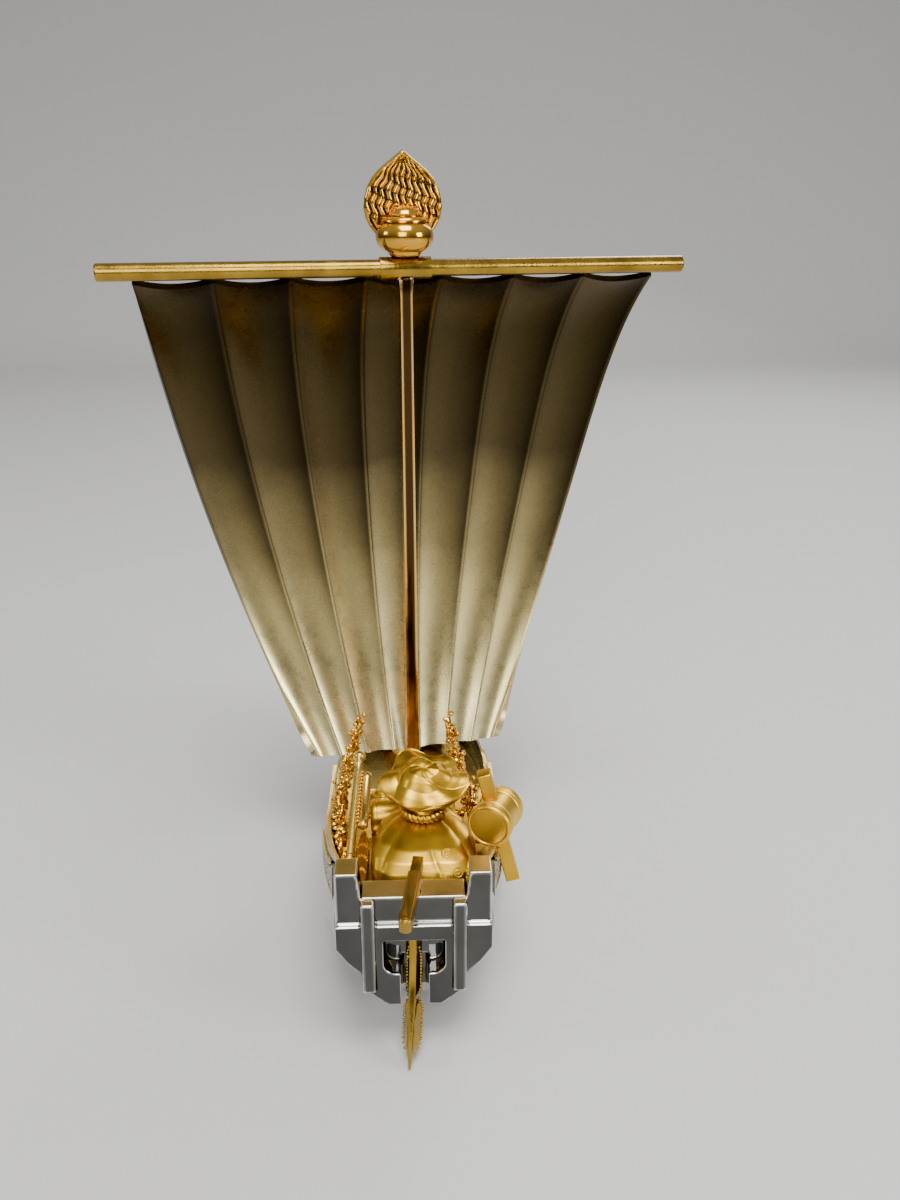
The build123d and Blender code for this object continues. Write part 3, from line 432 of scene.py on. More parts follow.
def recast(source, name, cell, body, material):
    """A frame piece cast again in cells of one size; how proud each point stands becomes its edge number, the
    strength of its painted highlight.
    """
    piece = merged(source, name)
    modified(piece, "REMESH", mode="VOXEL", voxel_size=cell)
    modified(piece, "SMOOTH", factor=0.5, iterations=4)
    points = [vertex.co.copy() for vertex in piece.data.vertices]
    around = [Vector() for _ in points]
    count = [0] * len(points)
    for edge in piece.data.edges:
        first, second = edge.vertices
        around[first] += points[second]
        around[second] += points[first]
        count[first] += 1
        count[second] += 1
    edge_highlights = []
    for vertex, total, number in zip(piece.data.vertices, around, count):
        proud = (vertex.co - total / number).dot(vertex.normal) / cell
        edge_highlights.append(min(1.0, max(0.0, (proud - HIGHLIGHT_FROM) / HIGHLIGHT_OVER)))
    attribute = piece.data.attributes.new("edge", "FLOAT", "POINT")
    attribute.data.foreach_set("value", edge_highlights)
    smoothed(piece, 60.0)
    return finished(piece, body, material, source)


# %% Rounded by a narrow bevel
BEVEL_STEPS = 2
BEVEL_FROM = math.radians(28.0)


def softened(source, name, width, body, material):
    """A copy of a frame piece with its edges rounded by width, in metres."""
    piece = merged(source, name)
    modified(
        piece,
        "BEVEL",
        width=width,
        segments=BEVEL_STEPS,
        limit_method="ANGLE",
        angle_limit=BEVEL_FROM,
        use_clamp_overlap=True,
        miter_outer="MITER_ARC",
    )
    smoothed(piece, 32.0)
    return finished(piece, body, material, source)


# %% [markdown]
# ### The mast's finish
# The mast is a square bar, and its after face mirrors the dark of the room while the bevels beside
# it catch the lamps. Near the deck it mirrors the gold of the cargo instead. A polished face this
# narrow shows only a few of the room's reflections, so the finish states them: dark in the middle,
# bright at the sides, orange at the foot.

# %% The mast's gold
MAST_DARK = (0.06, 0.03, 0.01)
MAST_GLOW = (0.78, 0.36, 0.06)
mast_gold = plated("mast_gold", (0.80, 0.52, 0.16), (0.66, 0.40, 0.10), 0.10, 0.22, 900.0, 0.00002)
mast_tree, mast_shader, mast_plating = opened(mast_gold)
square_on = node(mast_tree, "ShaderNodeMapping")
square_on.inputs["Rotation"].default_value = (0.0, 0.0, -RIG_TURN)
mast_tree.links.new(object_place(mast_tree), square_on.inputs["Vector"])
mast_place = square_on.outputs["Vector"]
off_centre = calculated(mast_tree, "ABSOLUTE", axis_of(mast_tree, mast_place, "X"))
edgeward = spread(mast_tree, off_centre, 0.0, 1.0, 0.9 * MM, 1.25 * MM)
mast_face = mixed(mast_tree, edgeward, MAST_DARK, mast_plating)
above_foot = spread(mast_tree, axis_of(mast_tree, mast_place, "Z"), 0.0, 1.0, 36.0 * MM, 62.0 * MM)
mast_tint = mixed(mast_tree, above_foot, MAST_GLOW, mast_face)
mast_tree.links.new(mast_tint, mast_shader.inputs["Base Color"])
print("finish:", mast_gold.name)

# %% Hull castings, mast, yard and tiller
for source, cell, material in (
    ("transom", 0.3 * MM, gilded_beam),
    ("cross_beam", 0.3 * MM, gilded_beam),
    ("port_bulwark", 0.36 * MM, gilded_rails),
    ("starboard_bulwark", 0.36 * MM, gilded_rails),
    ("stem_post", 0.36 * MM, gilded_rails),
):
    recast(source, f"{source}_cast", cell, "hull", material)
softened("mast", "mast_cast", 0.4 * MM, "rig", mast_gold)
softened("yard", "yard_cast", 0.3 * MM, "rig", yard_gold)
softened("tiller", "tiller_cast", 0.4 * MM, "rudder", tiller_gold)
for source in ("hull_port_half", "hull_starboard_half", "keel_plank", "bulkhead"):
    nodes[source].data.materials[0] = mirror_silver
for source in ("deck_plate", "cargo_deck", "mast_step"):
    nodes[source].data.materials[0] = pale_gold
nodes["deck_screws"].data.materials[0] = screw_steel
nodes["rudder_stock"].data.materials[0] = polished_gold
nodes["tiller_pin"].data.materials[0] = polished_gold
print("frame pieces that keep their own mesh have their finish")

# %% [markdown]
# ### The sail's own finish
# The sail's colour isn't even. It is a dark champagne under the yard and lifts to a bright cream at
# the foot, and that darkening under the yard is painted shade. Every gutter has painted light along
# its port side and painted shade towards its starboard ridge, with a thin painted highlight just
# before each ridge. The grid keeps two numbers at each point, the place across its gutter and the
# drop from the yard, and the finish reads them.


# %% Colour ramps, for the sail's plating and its painted shade
def ramp(tree, value, stops):
    """Colours along a value; stops are (place, colour)."""
    made = node(tree, "ShaderNodeValToRGB")
    elements = made.color_ramp.elements
    while len(elements) < len(stops):
        elements.new(0.5)
    for element, (place, colour) in zip(elements, stops):
        element.position = place
        element.color = (*colour, 1.0)
    tree.links.new(value, made.inputs[0])
    return made.outputs[0]


# %% The sail's plating, with painted shade and painted highlights
sail_champagne = plated("sail_champagne", (1, 1, 1), (0.85, 0.85, 0.85), 0.25, 0.31, 2600.0, 0.000012, 90.0)
sail_tree, sail_shader = opened(sail_champagne)[:2]
sail_place = object_place(sail_tree)
cloudy = spread(sail_tree, noise(sail_tree, sail_place, 60.0, 5.0), -0.025, 0.025)
# painted shade: the ramp darkens the sail under the yard and lifts it to the plating's bright cream at the
# foot
plating = ramp(
    sail_tree,
    calculated(sail_tree, "ADD", stored(sail_tree, "sail_drop"), cloudy),
    [
        (0.0, (0.085, 0.056, 0.018)),
        (0.1, (0.055, 0.04, 0.015)),
        (0.36, (0.085, 0.064, 0.028)),
        (0.56, (0.34, 0.27, 0.12)),
        (0.74, (0.82, 0.68, 0.31)),
        (0.9, (0.92, 0.79, 0.38)),
        (1.0, (0.95, 0.84, 0.44)),
    ],
)
# painted light and shade across each gutter: light along its port side, shade towards its starboard ridge, a
# thin painted highlight just before each ridge
gutter_shade = ramp(
    sail_tree,
    stored(sail_tree, "gutter_place"),
    [
        (0.0, (0.35, 0.33, 0.30)),
        (0.04, (0.9, 0.9, 0.9)),
        (0.12, (1.0, 1.0, 1.0)),
        (0.35, (0.88, 0.86, 0.82)),
        (0.7, (0.5, 0.48, 0.42)),
        (0.94, (0.2, 0.185, 0.16)),
        (1.0, (0.8, 0.78, 0.74)),
    ],
)
speckle = spread(sail_tree, noise(sail_tree, sail_place, 1900.0, 2.0), 0.8, 1.0, 0.36, 0.5)
# how strongly the gutters' painted light and shade act: in full under the yard, half at the foot
even = spread(sail_tree, stored(sail_tree, "sail_drop"), 1.0, 0.5, 0.55, 0.95)
shaded = mixed(sail_tree, even, plating, gutter_shade, "MULTIPLY")
speckled = mixed(sail_tree, 0.7, shaded, speckle, "MULTIPLY")
sail_tree.links.new(speckled, sail_shader.inputs["Base Color"])
print("finish:", sail_champagne.name)

# %% [markdown]
# ## The sail
# The sail is one thin casting of seven hollow gutters that meet in sharp ridges, hung under the
# yard and bellying forward. It could be cut from a bent plate, but each gutter narrows on the way
# down, so a grid whose points follow the sail's own rule is simpler: how wide, how far forward and
# how deep at each height.

# %% The sail's sheet
SAIL_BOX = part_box("sail")
SAIL_TOP = SAIL_BOX[1].z
SAIL_FOOT = SAIL_BOX[0].z
SAIL_THICK = 1.6 * MM
SAIL_TOP_HALF = 65.4
SAIL_TAPER = 17.1  # narrowing that grows with the drop
SAIL_FLARE = 20.4  # narrowing that grows with its square
SAIL_BELLY = 23.8
SAIL_RISE = 0.145  # how soon below the yard the belly comes
SAIL_TUCK = 0.65  # how much of the belly the foot gives back
PANELS = 7
PANEL_COLUMNS = 18
SAIL_ROWS = 150
GUTTER_DEEP = 0.11  # share of a panel's width
HEAD_SCALLOP = 1.5 * MM
FOOT_CORNER = 3.0
TONGUE_HALF = 0.42  # in panels
TONGUE_DROP = 3.6


def sail_half(drop):
    """Half width of the sail at a drop from 0 at the yard to 1 at the foot."""
    return (SAIL_TOP_HALF - SAIL_TAPER * drop - SAIL_FLARE * drop**2) * MM


def sail_belly(drop):
    """How far forward of the mast the sail's ridges stand."""
    return SAIL_BELLY * MM * (1.0 - math.exp(-drop / SAIL_RISE)) * (1.0 - SAIL_TUCK * drop**4)


def foot_shift(across):
    """How far the foot stands above its level line: rounded corners, and a tongue down in the middle."""
    side = min(across, PANELS - across) * 2.0 * sail_half(1.0) / PANELS / MM
    corner = FOOT_CORNER - math.sqrt(FOOT_CORNER**2 - max(0.0, FOOT_CORNER - side) ** 2)
    tongue = max(0.0, 1.0 - ((across - PANELS / 2.0) / TONGUE_HALF) ** 2)
    return (corner - TONGUE_DROP * tongue**0.7) * MM


def sail_point(across, drop):
    """A point on the sail's after face; across runs from 0 at port to 7 at starboard, in panels."""
    half = sail_half(drop)
    panel_width = 2.0 * half / PANELS
    inside = across - math.floor(min(across, PANELS - 0.0001))
    bow = 4.0 * inside * (1.0 - inside)
    gutter = GUTTER_DEEP * panel_width * bow
    level = drop * (SAIL_TOP - SAIL_FOOT)
    fall = level - foot_shift(across) * drop**12 + HEAD_SCALLOP * bow * (1.0 - drop) ** 24
    return Vector((-half + panel_width * across, sail_belly(drop) + gutter, SAIL_TOP - fall))


bpy.ops.mesh.primitive_grid_add(x_subdivisions=PANELS * PANEL_COLUMNS, y_subdivisions=SAIL_ROWS, size=2.0)
sail = named("sail_cast")
places = []
for vertex in sail.data.vertices:
    across = (vertex.co.x + 1.0) / 2.0 * PANELS
    drop = (1.0 - vertex.co.y) / 2.0
    places.append((across - math.floor(across), drop))
    vertex.co = sail_point(across, drop)
for name, column in (("gutter_place", 0), ("sail_drop", 1)):
    attribute = sail.data.attributes.new(name, "FLOAT", "POINT")
    attribute.data.foreach_set("value", [pair[column] for pair in places])
sail.data.update()
modified(sail, "SOLIDIFY", thickness=SAIL_THICK, offset=-1.0, use_even_offset=True)
turned(sail, RIG_TURN)
sail_spots = [vertex.co for vertex in sail.data.vertices]
print("sail spans", [round((max(axis) - min(axis)) / MM, 1) for axis in zip(*sail_spots)], "mm")
print("its frame piece spans", [round(side / MM, 1) for side in SAIL_BOX[1] - SAIL_BOX[0]], "mm")
smoothed(sail, 50.0)
finished(sail, "rig", sail_champagne, "sail")

# %% [markdown]
# ## Shapes that follow a rule
# Cloth cast in metal, straw, coral and flames have no flat faces to extrude, and each would be
# hundreds of pushed points by hand. A grid is laid out instead and every point is placed by the
# piece's own rule, one number round the piece and one along it. Where the rule brings a row
# together at a pole, merging doubles closes the shell.


# %% A grid wrapped by a rule, and turned work
def wrapped(name, columns, rows, rule):
    """A closed shell: rule(turn, along), both from 0 to 1, gives each point in metres."""
    bpy.ops.object.select_all(action="DESELECT")
    bpy.ops.mesh.primitive_grid_add(x_subdivisions=columns, y_subdivisions=rows, size=2.0)
    piece = named(name)
    for vertex in piece.data.vertices:
        vertex.co = rule((vertex.co.x + 1.0) / 2.0, (vertex.co.y + 1.0) / 2.0)
    piece.data.update()
    return closed(piece)


def stepped(levels, along):
    """Values at along between the levels' rows; each row starts with its own place from 0 to 1."""
    for low, high in zip(levels, levels[1:]):
        if along <= high[0]:
            share = (along - low[0]) / (high[0] - low[0])
            return [a + (b - a) * share for a, b in zip(low[1:], high[1:])]
    return list(levels[-1][1:])


def lathe(name, rings, segments=64):
    """Turned work about Z: rings are (radius, height) in millimetres, from the foot's pole to the top's."""
    bpy.ops.object.select_all(action="DESELECT")
    first_radius, first_height = rings[1]
    bpy.ops.mesh.primitive_circle_add(
        vertices=segments, radius=first_radius * MM, fill_type="NGON", location=(0.0, 0.0, first_height * MM)
    )
    piece = named(name)
    bpy.ops.object.transform_apply(location=True, rotation=True, scale=True)
    bpy.ops.object.mode_set(mode="EDIT")
    bpy.ops.mesh.select_all(action="SELECT")
    if rings[0][1] != first_height:
        bpy.ops.mesh.poke()
    bpy.ops.object.mode_set(mode="OBJECT")
    if rings[0][1] != first_height:
        pole = min(piece.data.vertices, key=lambda vertex: vertex.co.xy.length)
        pole.co.z = rings[0][1] * MM
    rim = [vertex.index for vertex in piece.data.vertices if vertex.co.xy.length > 0.5 * first_radius * MM]
    bpy.ops.object.mode_set(mode="EDIT")
    bpy.ops.mesh.select_all(action="DESELECT")
    bpy.ops.mesh.select_mode(type="VERT")
    bpy.ops.object.mode_set(mode="OBJECT")
    for index in rim:
        piece.data.vertices[index].select = True
    bpy.ops.object.mode_set(mode="EDIT")
    radius, height = first_radius, first_height
    for next_radius, next_height in rings[2:]:
        rise = (next_height - height) * MM
        bpy.ops.mesh.extrude_edges_move(TRANSFORM_OT_translate={"value": (0.0, 0.0, rise)})
        factor = max(next_radius, 0.0001) / radius
        bpy.ops.transform.resize(value=(factor, factor, 1.0), center_override=(0.0, 0.0, next_height * MM))
        radius, height = max(next_radius, 0.0001), next_height
    bpy.ops.object.mode_set(mode="OBJECT")
    return closed(piece, 0.000002)


def arc_rings(centre_radius, centre_height, radius, start, end, steps=8):
    """Rings (radius, height) on an arc, angles in degrees from level outwards."""
    angles = [math.radians(start + (end - start) * i / steps) for i in range(steps + 1)]
    return [(centre_radius + radius * math.cos(a), centre_height + radius * math.sin(a)) for a in angles]


def stood(obj, foot, head):
    """Move turned work so that its axis runs from foot towards head, both in metres."""
    axis = (Vector(head) - Vector(foot)).normalized()
    obj.data.transform(Matrix.Translation(foot) @ axis.to_track_quat("Z", "Y").to_matrix().to_4x4())
    obj.data.update()
    return obj


# %% [markdown]
# ## The finial: turned pot and flame
# On the masthead sits a turned stack: a ringed neck, a round-bellied pot and two domed bands. It is
# lathe work, so a circle is extruded and resized ring by ring. The flame is a flat onion-shaped
# casting with a smooth rim and many licking tongues, which run up it and close at the tip. Each is
# a ripple of one shell, whose rule knows the outline.

# %% Turned pot
POT_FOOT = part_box("finial_pot")[0].z
POT_DRAWN = 12.3  # the rings' own height
POT_TALL = 12.29
pot_rings = [(0.0, 0.0), (3.3, 0.0), (3.9, 0.35), (4.25, 0.8), (4.25, 1.3), (3.6, 1.6), (3.5, 1.95)]
pot_rings += [(4.0, 2.1)] + arc_rings(3.4, 4.7, 3.75, -68.0, 62.0, 14)
pot_rings += [(5.5, 7.95), (5.75, 8.2), (5.7, 8.6), (5.2, 9.1), (4.6, 9.3), (4.75, 9.6)]
pot_rings += arc_rings(0.0, 7.4, 4.9, 28.0, 88.0, 10) + [(0.0, POT_DRAWN)]
pot = lathe("finial_pot_turned", [(r, z * POT_TALL / POT_DRAWN) for r, z in pot_rings], 80)
pot.data.transform(Matrix.Translation((0.0, 0.0, POT_FOOT)))
smoothed(pot, 50.0)
finished(pot, "rig", polished_gold, "finial_pot")

# %% Flame outline
FLAME_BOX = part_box("flame_halo")
FLAME_FOOT = FLAME_BOX[0].z / MM
FLAME_TALL = FLAME_BOX[1].z / MM - FLAME_FOOT
FLAME_CENTRE = 6.7  # height of the middle from which its rings run out
FLAME_AFT = 0.45
FLAME_DEEP = 2.2
FLAME_COLUMNS = 300
FLAME_ROWS = 120
RIM_FROM = 0.91  # share of the way out where the smooth rim begins
TONGUES = 10.5  # over the whole width
FLAME_HALVES = [
    (0.0, 6.5),
    (0.06, 7.4),
    (0.13, 8.5),
    (0.22, 9.3),
    (0.34, 9.75),
    (0.46, 9.5),
    (0.58, 8.75),
    (0.68, 7.6),
    (0.77, 6.0),
    (0.85, 4.0),
    (0.92, 2.1),
    (0.97, 0.9),
    (1.0, 0.05),
]


def flame_half(height):
    """Half width of the flame at a height over its foot, both in millimetres."""
    return stepped(FLAME_HALVES, min(1.0, max(0.0, height / FLAME_TALL)))[0]


def flame_edge(angle):
    """Distance from the flame's centre to its outline in a direction, angle in radians from straight up."""
    low, high = 0.0, 20.0
    for _ in range(24):
        middle = (low + high) / 2.0
        height = FLAME_CENTRE + middle * math.cos(angle)
        outside = height < 0.0 or height > FLAME_TALL or abs(middle * math.sin(angle)) > flame_half(height)
        low, high = (low, middle) if outside else (middle, high)
    return low


def tongue_relief(x, height):
    """Height of the tongues' relief, 0 to 1: wavy licks that run up the flame and close at its tip."""
    half = max(0.4, flame_half(height))
    place = x / half + 0.035 * math.sin(1.5 * height + 5.0 * x / half) * min(1.0, height / 6.0)
    row = 0.5 * math.sin(0.62 * height + 2.2 * math.sin(7.0 * place))
    return abs(math.cos(TONGUES * place * math.pi / 2.0 + 0.35 * row)) ** 0.8


def rim_share(out):
    """How much of the smooth rim a place has; out runs from 0 in the middle to 1 at the outline."""
    return max(0.0, min(1.0, (out - RIM_FROM) / 0.03))


EDGES = [flame_edge(2.0 * math.pi * column / FLAME_COLUMNS) for column in range(FLAME_COLUMNS)]
print("flame:", round(FLAME_TALL, 1), "mm tall, its outline found in", len(EDGES), "directions")


# %% Flame shell, rippled on both faces
def flame_point(turn, along):
    """A point of the flame; along runs from the middle of its aft face over the rim to the forward face."""
    angle = 2.0 * math.pi * turn
    reach = EDGES[round(turn * FLAME_COLUMNS) % FLAME_COLUMNS]
    out = min(1.0, 2.0 * along, 2.0 * (1.0 - along)) ** 0.8
    x = reach * out * math.sin(angle)
    height = FLAME_CENTRE + reach * out * math.cos(angle)
    swell = 0.34 + 0.66 * max(tongue_relief(x, height), rim_share(out))
    thick = FLAME_DEEP / 2.0 * swell * math.sqrt(max(0.0, 1.0 - max(0.0, out - 0.9) ** 2 / 0.01))
    middle = FLAME_AFT + FLAME_DEEP / 2.0
    depth = middle - thick if along < 0.5 else middle + thick
    return Vector((x, depth, FLAME_FOOT + height)) * MM


flame = wrapped("flame_halo_cast", FLAME_COLUMNS, FLAME_ROWS, flame_point)
depths = []
for vertex in flame.data.vertices:
    x, height = vertex.co.x / MM, vertex.co.z / MM - FLAME_FOOT
    column = round(math.atan2(x, height - FLAME_CENTRE) / (2.0 * math.pi) * FLAME_COLUMNS)
    out = math.hypot(x, height - FLAME_CENTRE) / EDGES[column % FLAME_COLUMNS]
    depths.append(1.0 - max(tongue_relief(x, height), rim_share(out)))
grooves = flame.data.attributes.new("groove", "FLOAT", "POINT")
grooves.data.foreach_set("value", depths)
turned(flame, RIG_TURN)

# %% The flame's gold, with painted shade in its grooves
GROOVE_SHADE = (0.13, 0.055, 0.015)
flame_gold = plated("flame_gold", (0.78, 0.46, 0.07), (0.60, 0.33, 0.04), 0.09, 0.2, 900.0, 0.00002)
flame_tree, flame_shader, flame_plating = opened(flame_gold)
# painted shade: the grooves between the tongues are darkened, most where they are deepest
in_groove = spread(flame_tree, stored(flame_tree, "groove"), 0.0, 1.0, 0.35, 0.8)
flame_tint = mixed(flame_tree, in_groove, flame_plating, GROOVE_SHADE)
flame_tree.links.new(flame_tint, flame_shader.inputs["Base Color"])
smoothed(flame, 60.0)
finished(flame, "rig", flame_gold, "flame_halo")

# %% [markdown]
# ## The treasure sack
# The sack is the heart of the cargo: a broad body with squared shoulders, drawn together under a
# twisted cord, with the mouth of the cloth opening above it like petals. It is cast metal, so
# nothing has to be simulated. The body is a rounded section that narrows to the neck, with pleats
# that are deep under the cord and fade on the way down.

# %% Sack body
DECK = 34.0  # top of the raised deck
SACK_X = 2.6
NECK_Y = -46.0
SACK_FOOT = DECK + 0.02
SACK_RISE = 11.7
PLEATS = 7
PLEAT_DEEP = 0.13
PLEAT_FROM = 0.36  # share of the way up where the pleats begin
SEAM = math.radians(-84.0)
SEAM_WIDE = 0.03
# each row: place along the rule, half width, half depth, the section's middle fore and aft, height
SACK_SECTIONS = [
    (0.0, 10.8, 8.2, -55.6, 0.0),
    (0.12, 12.1, 9.6, -55.5, 0.9),
    (0.26, 12.8, 10.4, -55.4, 2.6),
    (0.4, 13.0, 10.4, -55.2, 4.6),
    (0.52, 12.7, 10.1, -54.6, 6.4),
    (0.64, 12.3, 9.7, -53.4, 8.1),
    (0.76, 11.0, 8.8, -51.3, 9.6),
    (0.88, 8.3, 7.0, -48.5, 10.8),
    (1.0, 4.7, 4.7, NECK_Y, SACK_RISE),
]


def squared(value, square):
    """A sine or cosine pushed outwards, which squares the shoulders of a round section."""
    return math.copysign(abs(value) ** (2.0 * (1.0 - square)), value)


def sack_point(turn, along):
    """A point of the sack's body; along runs from the middle of its underside to the neck."""
    angle = 2.0 * math.pi * turn
    up = max(0.0, (along - 0.12) / 0.88)
    half_wide, half_deep, centre, height = stepped(SACK_SECTIONS, up)
    square = 0.5 + 0.24 * min(1.0, 2.0 * (1.0 - up))
    wide = half_wide * squared(math.cos(angle), square)
    deep = half_deep * squared(math.sin(angle), square)
    fold = abs(math.sin(PLEATS / 2.0 * (angle - SEAM)))
    depth = PLEAT_DEEP * max(0.0, up - PLEAT_FROM) / (1.0 - PLEAT_FROM)
    size = 1.0 - depth * (1.0 - fold) ** 1.6 + 0.25 * depth * fold
    from_seam = (angle - SEAM + math.pi) % (2.0 * math.pi) - math.pi
    seam = 0.22 * math.exp(-((from_seam / SEAM_WIDE) ** 2)) * min(1.0, 4.0 * up)
    size = (size - seam / 10.0) * min(1.0, along / 0.12)
    return Vector((SACK_X + wide * size, centre + deep * size, SACK_FOOT + height)) * MM


sack = wrapped("sack_body_cast", 240, 70, sack_point)
smoothed(sack, 60.0)
finished(sack, "hull", cargo_gold, "sack_body")

# %% Embossed rounds on the sack
sack_tree = BVHTree.FromObject(sack, bpy.context.evaluated_depsgraph_get())
rounds = []
for x, z in ((8.0, 43.2), (10.6, 40.4)):
    place, outward = sack_tree.ray_cast(Vector((x, -90.0, z)) * MM, Vector((0.0, 1.0, 0.0)))[:2]
    for major, minor in ((1.15, 0.2), (0.45, 0.22)):
        bpy.ops.object.select_all(action="DESELECT")
        bpy.ops.mesh.primitive_torus_add(
            major_radius=major * MM, minor_radius=minor * MM, major_segments=28, minor_segments=10
        )
        ring = bpy.context.object
        ring.data.transform(Matrix.Translation(place) @ outward.to_track_quat("Z", "Y").to_matrix().to_4x4())
        rounds.append(ring)
sack_rounds = joined(rounds, "sack_rounds")
smoothed(sack_rounds, 60.0)
finished(sack_rounds, "hull", cargo_gold)


# %% Twisted neck cord
CORD_RADIUS = 5.1
CORD_HEIGHT = SACK_FOOT + 12.75
STRAND_RADIUS = 1.08
CORD_TWISTS = 13.0


def cord_point(turn, along):
    """A point of the two-strand rope round the neck, slightly slack."""
    angle = 2.0 * math.pi * turn
    tube = 2.0 * math.pi * along
    strand = STRAND_RADIUS * (0.7 + 0.3 * abs(math.cos(tube + CORD_TWISTS * angle)))
    radius = CORD_RADIUS + strand * math.cos(tube)
    height = CORD_HEIGHT + strand * math.sin(tube) + 0.18 * math.sin(2.0 * angle + 0.6)
    return Vector((SACK_X + radius * math.cos(angle), NECK_Y + radius * math.sin(angle), height)) * MM


cord = wrapped("neck_cord_twisted", 220, 20, cord_point)
smoothed(cord, 70.0)
finished(cord, "hull", cargo_gold, "neck_cord")

# %% [markdown]
# ### The sack's mouth
# Above the cord the cloth flares into a ruffle. Seen from above it is an uneven six-petalled
# flower: the rim waves up and down, and inside it the cloth falls in a slow spiral to a pucker. One
# rule makes the skirt, the rim and the inside, so the petals that show on top continue as folds
# underneath.

# %% Ruffle
RUFFLE_TILT = math.radians(20.0)
RUFFLE_FOOT = SACK_FOOT + 12.0
RIM_ALONG = 0.54  # past the rim, where the cloth turns inwards
# each row: place along the rule, radius, height, share of the waves, spiral
RUFFLE_SECTIONS = [
    (0.0, 0.0, 0.0, 0.0, 0.0),
    (0.04, 3.7, 0.0, 0.0, 0.0),
    (0.16, 3.9, 1.8, 0.3, 0.0),
    (0.24, 5.8, 2.7, 0.7, 0.0),
    (0.36, 8.7, 4.3, 1.0, 0.1),
    (0.46, 10.3, 6.0, 1.0, 0.2),
    (0.5, 10.5, 6.6, 1.0, 0.2),
    (0.54, 10.1, 7.0, 1.0, 0.3),
    (0.66, 8.3, 7.3, 0.8, 0.6),
    (0.76, 6.4, 7.9, 0.6, 1.0),
    (0.84, 5.0, 9.2, 0.4, 1.4),
    (0.9, 3.6, 10.0, 0.3, 1.8),
    (0.96, 1.6, 10.2, 0.1, 2.2),
    (1.0, 0.0, 10.0, 0.0, 2.4),
]


def ruffle_point(turn, along):
    """A point of the ruffle; along runs from the neck over the rim to the pucker in the middle."""
    angle = 2.0 * math.pi * turn
    radius, height, wave, swirl = stepped(RUFFLE_SECTIONS, along)
    petals = math.cos(6.0 * angle + 0.7 * math.sin(angle) + 0.8 * swirl)
    uneven = 0.05 * math.cos(3.0 * angle + 1.0) + 0.04 * math.cos(5.0 * angle + 2.2)
    radius *= 1.0 + wave * (0.06 * petals + uneven)
    height += wave * (0.34 * petals + 0.4 * math.cos(3.0 * angle + 0.4))
    if along > RIM_ALONG:
        fold = (1.0 - abs(math.sin(1.5 * angle + 1.1 * swirl))) ** 2.5
        height -= 0.55 * fold * min(1.0, radius / 4.0)
    lean = min(1.0, height / 6.0)
    x = radius * 1.04 * math.cos(angle)
    y = radius * 0.86 * math.sin(angle)
    tilted_y = NECK_Y + 3.6 * lean + y * math.cos(RUFFLE_TILT * lean)
    tilted_z = RUFFLE_FOOT + (height + y * math.sin(RUFFLE_TILT * lean))
    return Vector((SACK_X + 0.3 * lean + x, tilted_y, tilted_z)) * MM


ruffle = wrapped("sack_ruffle_cast", 256, 90, ruffle_point)
smoothed(ruffle, 60.0)
finished(ruffle, "hull", cargo_gold, "sack_ruffle")

# %% [markdown]
# ## Mallet, roll, staff and scroll
# The barrel, roll, rod, staff and scroll are turned shapes: a circle extruded ring by ring, then
# laid along its own axis. Rims, grooves, knobs and end faces come from the rings, so they are real
# edges that catch the light. The mallet's handle is a plain bar and only needs its edges rounded.

# %% Lucky mallet
MALLET_NEAR = Vector((17.9, -60.0, 50.0)) * MM
MALLET_FAR = Vector((22.4, -49.2, 49.2)) * MM
MALLET_LONG = (MALLET_FAR - MALLET_NEAR).length / MM
MALLET_FULLER = 1.08  # its barrel's radius against the rings as drawn
near_end = [(0.0, 0.1), (4.0, 0.16), (4.15, 0.3), (4.3, 0.05), (4.55, 0.0), (4.85, 0.2), (5.05, 0.7)]
near_end += [(5.08, 2.0), (4.85, 2.2), (4.85, 2.5), (5.02, 2.7), (5.02, 3.1), (4.82, 3.3), (4.78, 3.6)]
far_end = [(radius, MALLET_LONG - height) for radius, height in near_end[::-1]]
mallet_rings = [(MALLET_FULLER * radius, height) for radius, height in near_end + far_end]
mallet = lathe("mallet_barrel_turned", mallet_rings, 72)
stood(mallet, MALLET_NEAR, MALLET_FAR)
smoothed(mallet, 40.0)
finished(mallet, "hull", mallet_painted_light_gold, "mallet_barrel")
softened("mallet_handle", "mallet_handle_cast", 0.4 * MM, "hull", cargo_gold)

# %% Brocade roll on its roller
ROLL_LOW, ROLL_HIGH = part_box("brocade_roll")
ROLL_HALF = ROLL_HIGH.x / MM
ROLL_FOOT = Vector((ROLL_LOW.x, (ROLL_LOW.y + ROLL_HIGH.y) / 2.0, (ROLL_LOW.z + ROLL_HIGH.z) / 2.0))
ROLL_HEAD = Vector((ROLL_HIGH.x, ROLL_FOOT.y, ROLL_FOOT.z))
roll_end = [(0.0, 0.6), (1.36, 0.6), (1.4, 0.3), (3.6, 0.0), (4.0, 0.15), (4.2, 0.6), (4.2, 1.5)]
roll_end += [(4.05, 1.6), (4.05, 1.9), (4.2, 2.0)]
roll_rings = roll_end + [(4.2, ROLL_HALF)]
roll_rings += [(radius, 2.0 * ROLL_HALF - height) for radius, height in roll_end[::-1]]
roll = lathe("brocade_roll_turned", roll_rings, 64)
stood(roll, ROLL_FOOT, ROLL_HEAD)
smoothed(roll, 40.0)
finished(roll, "hull", cargo_gold, "brocade_roll")

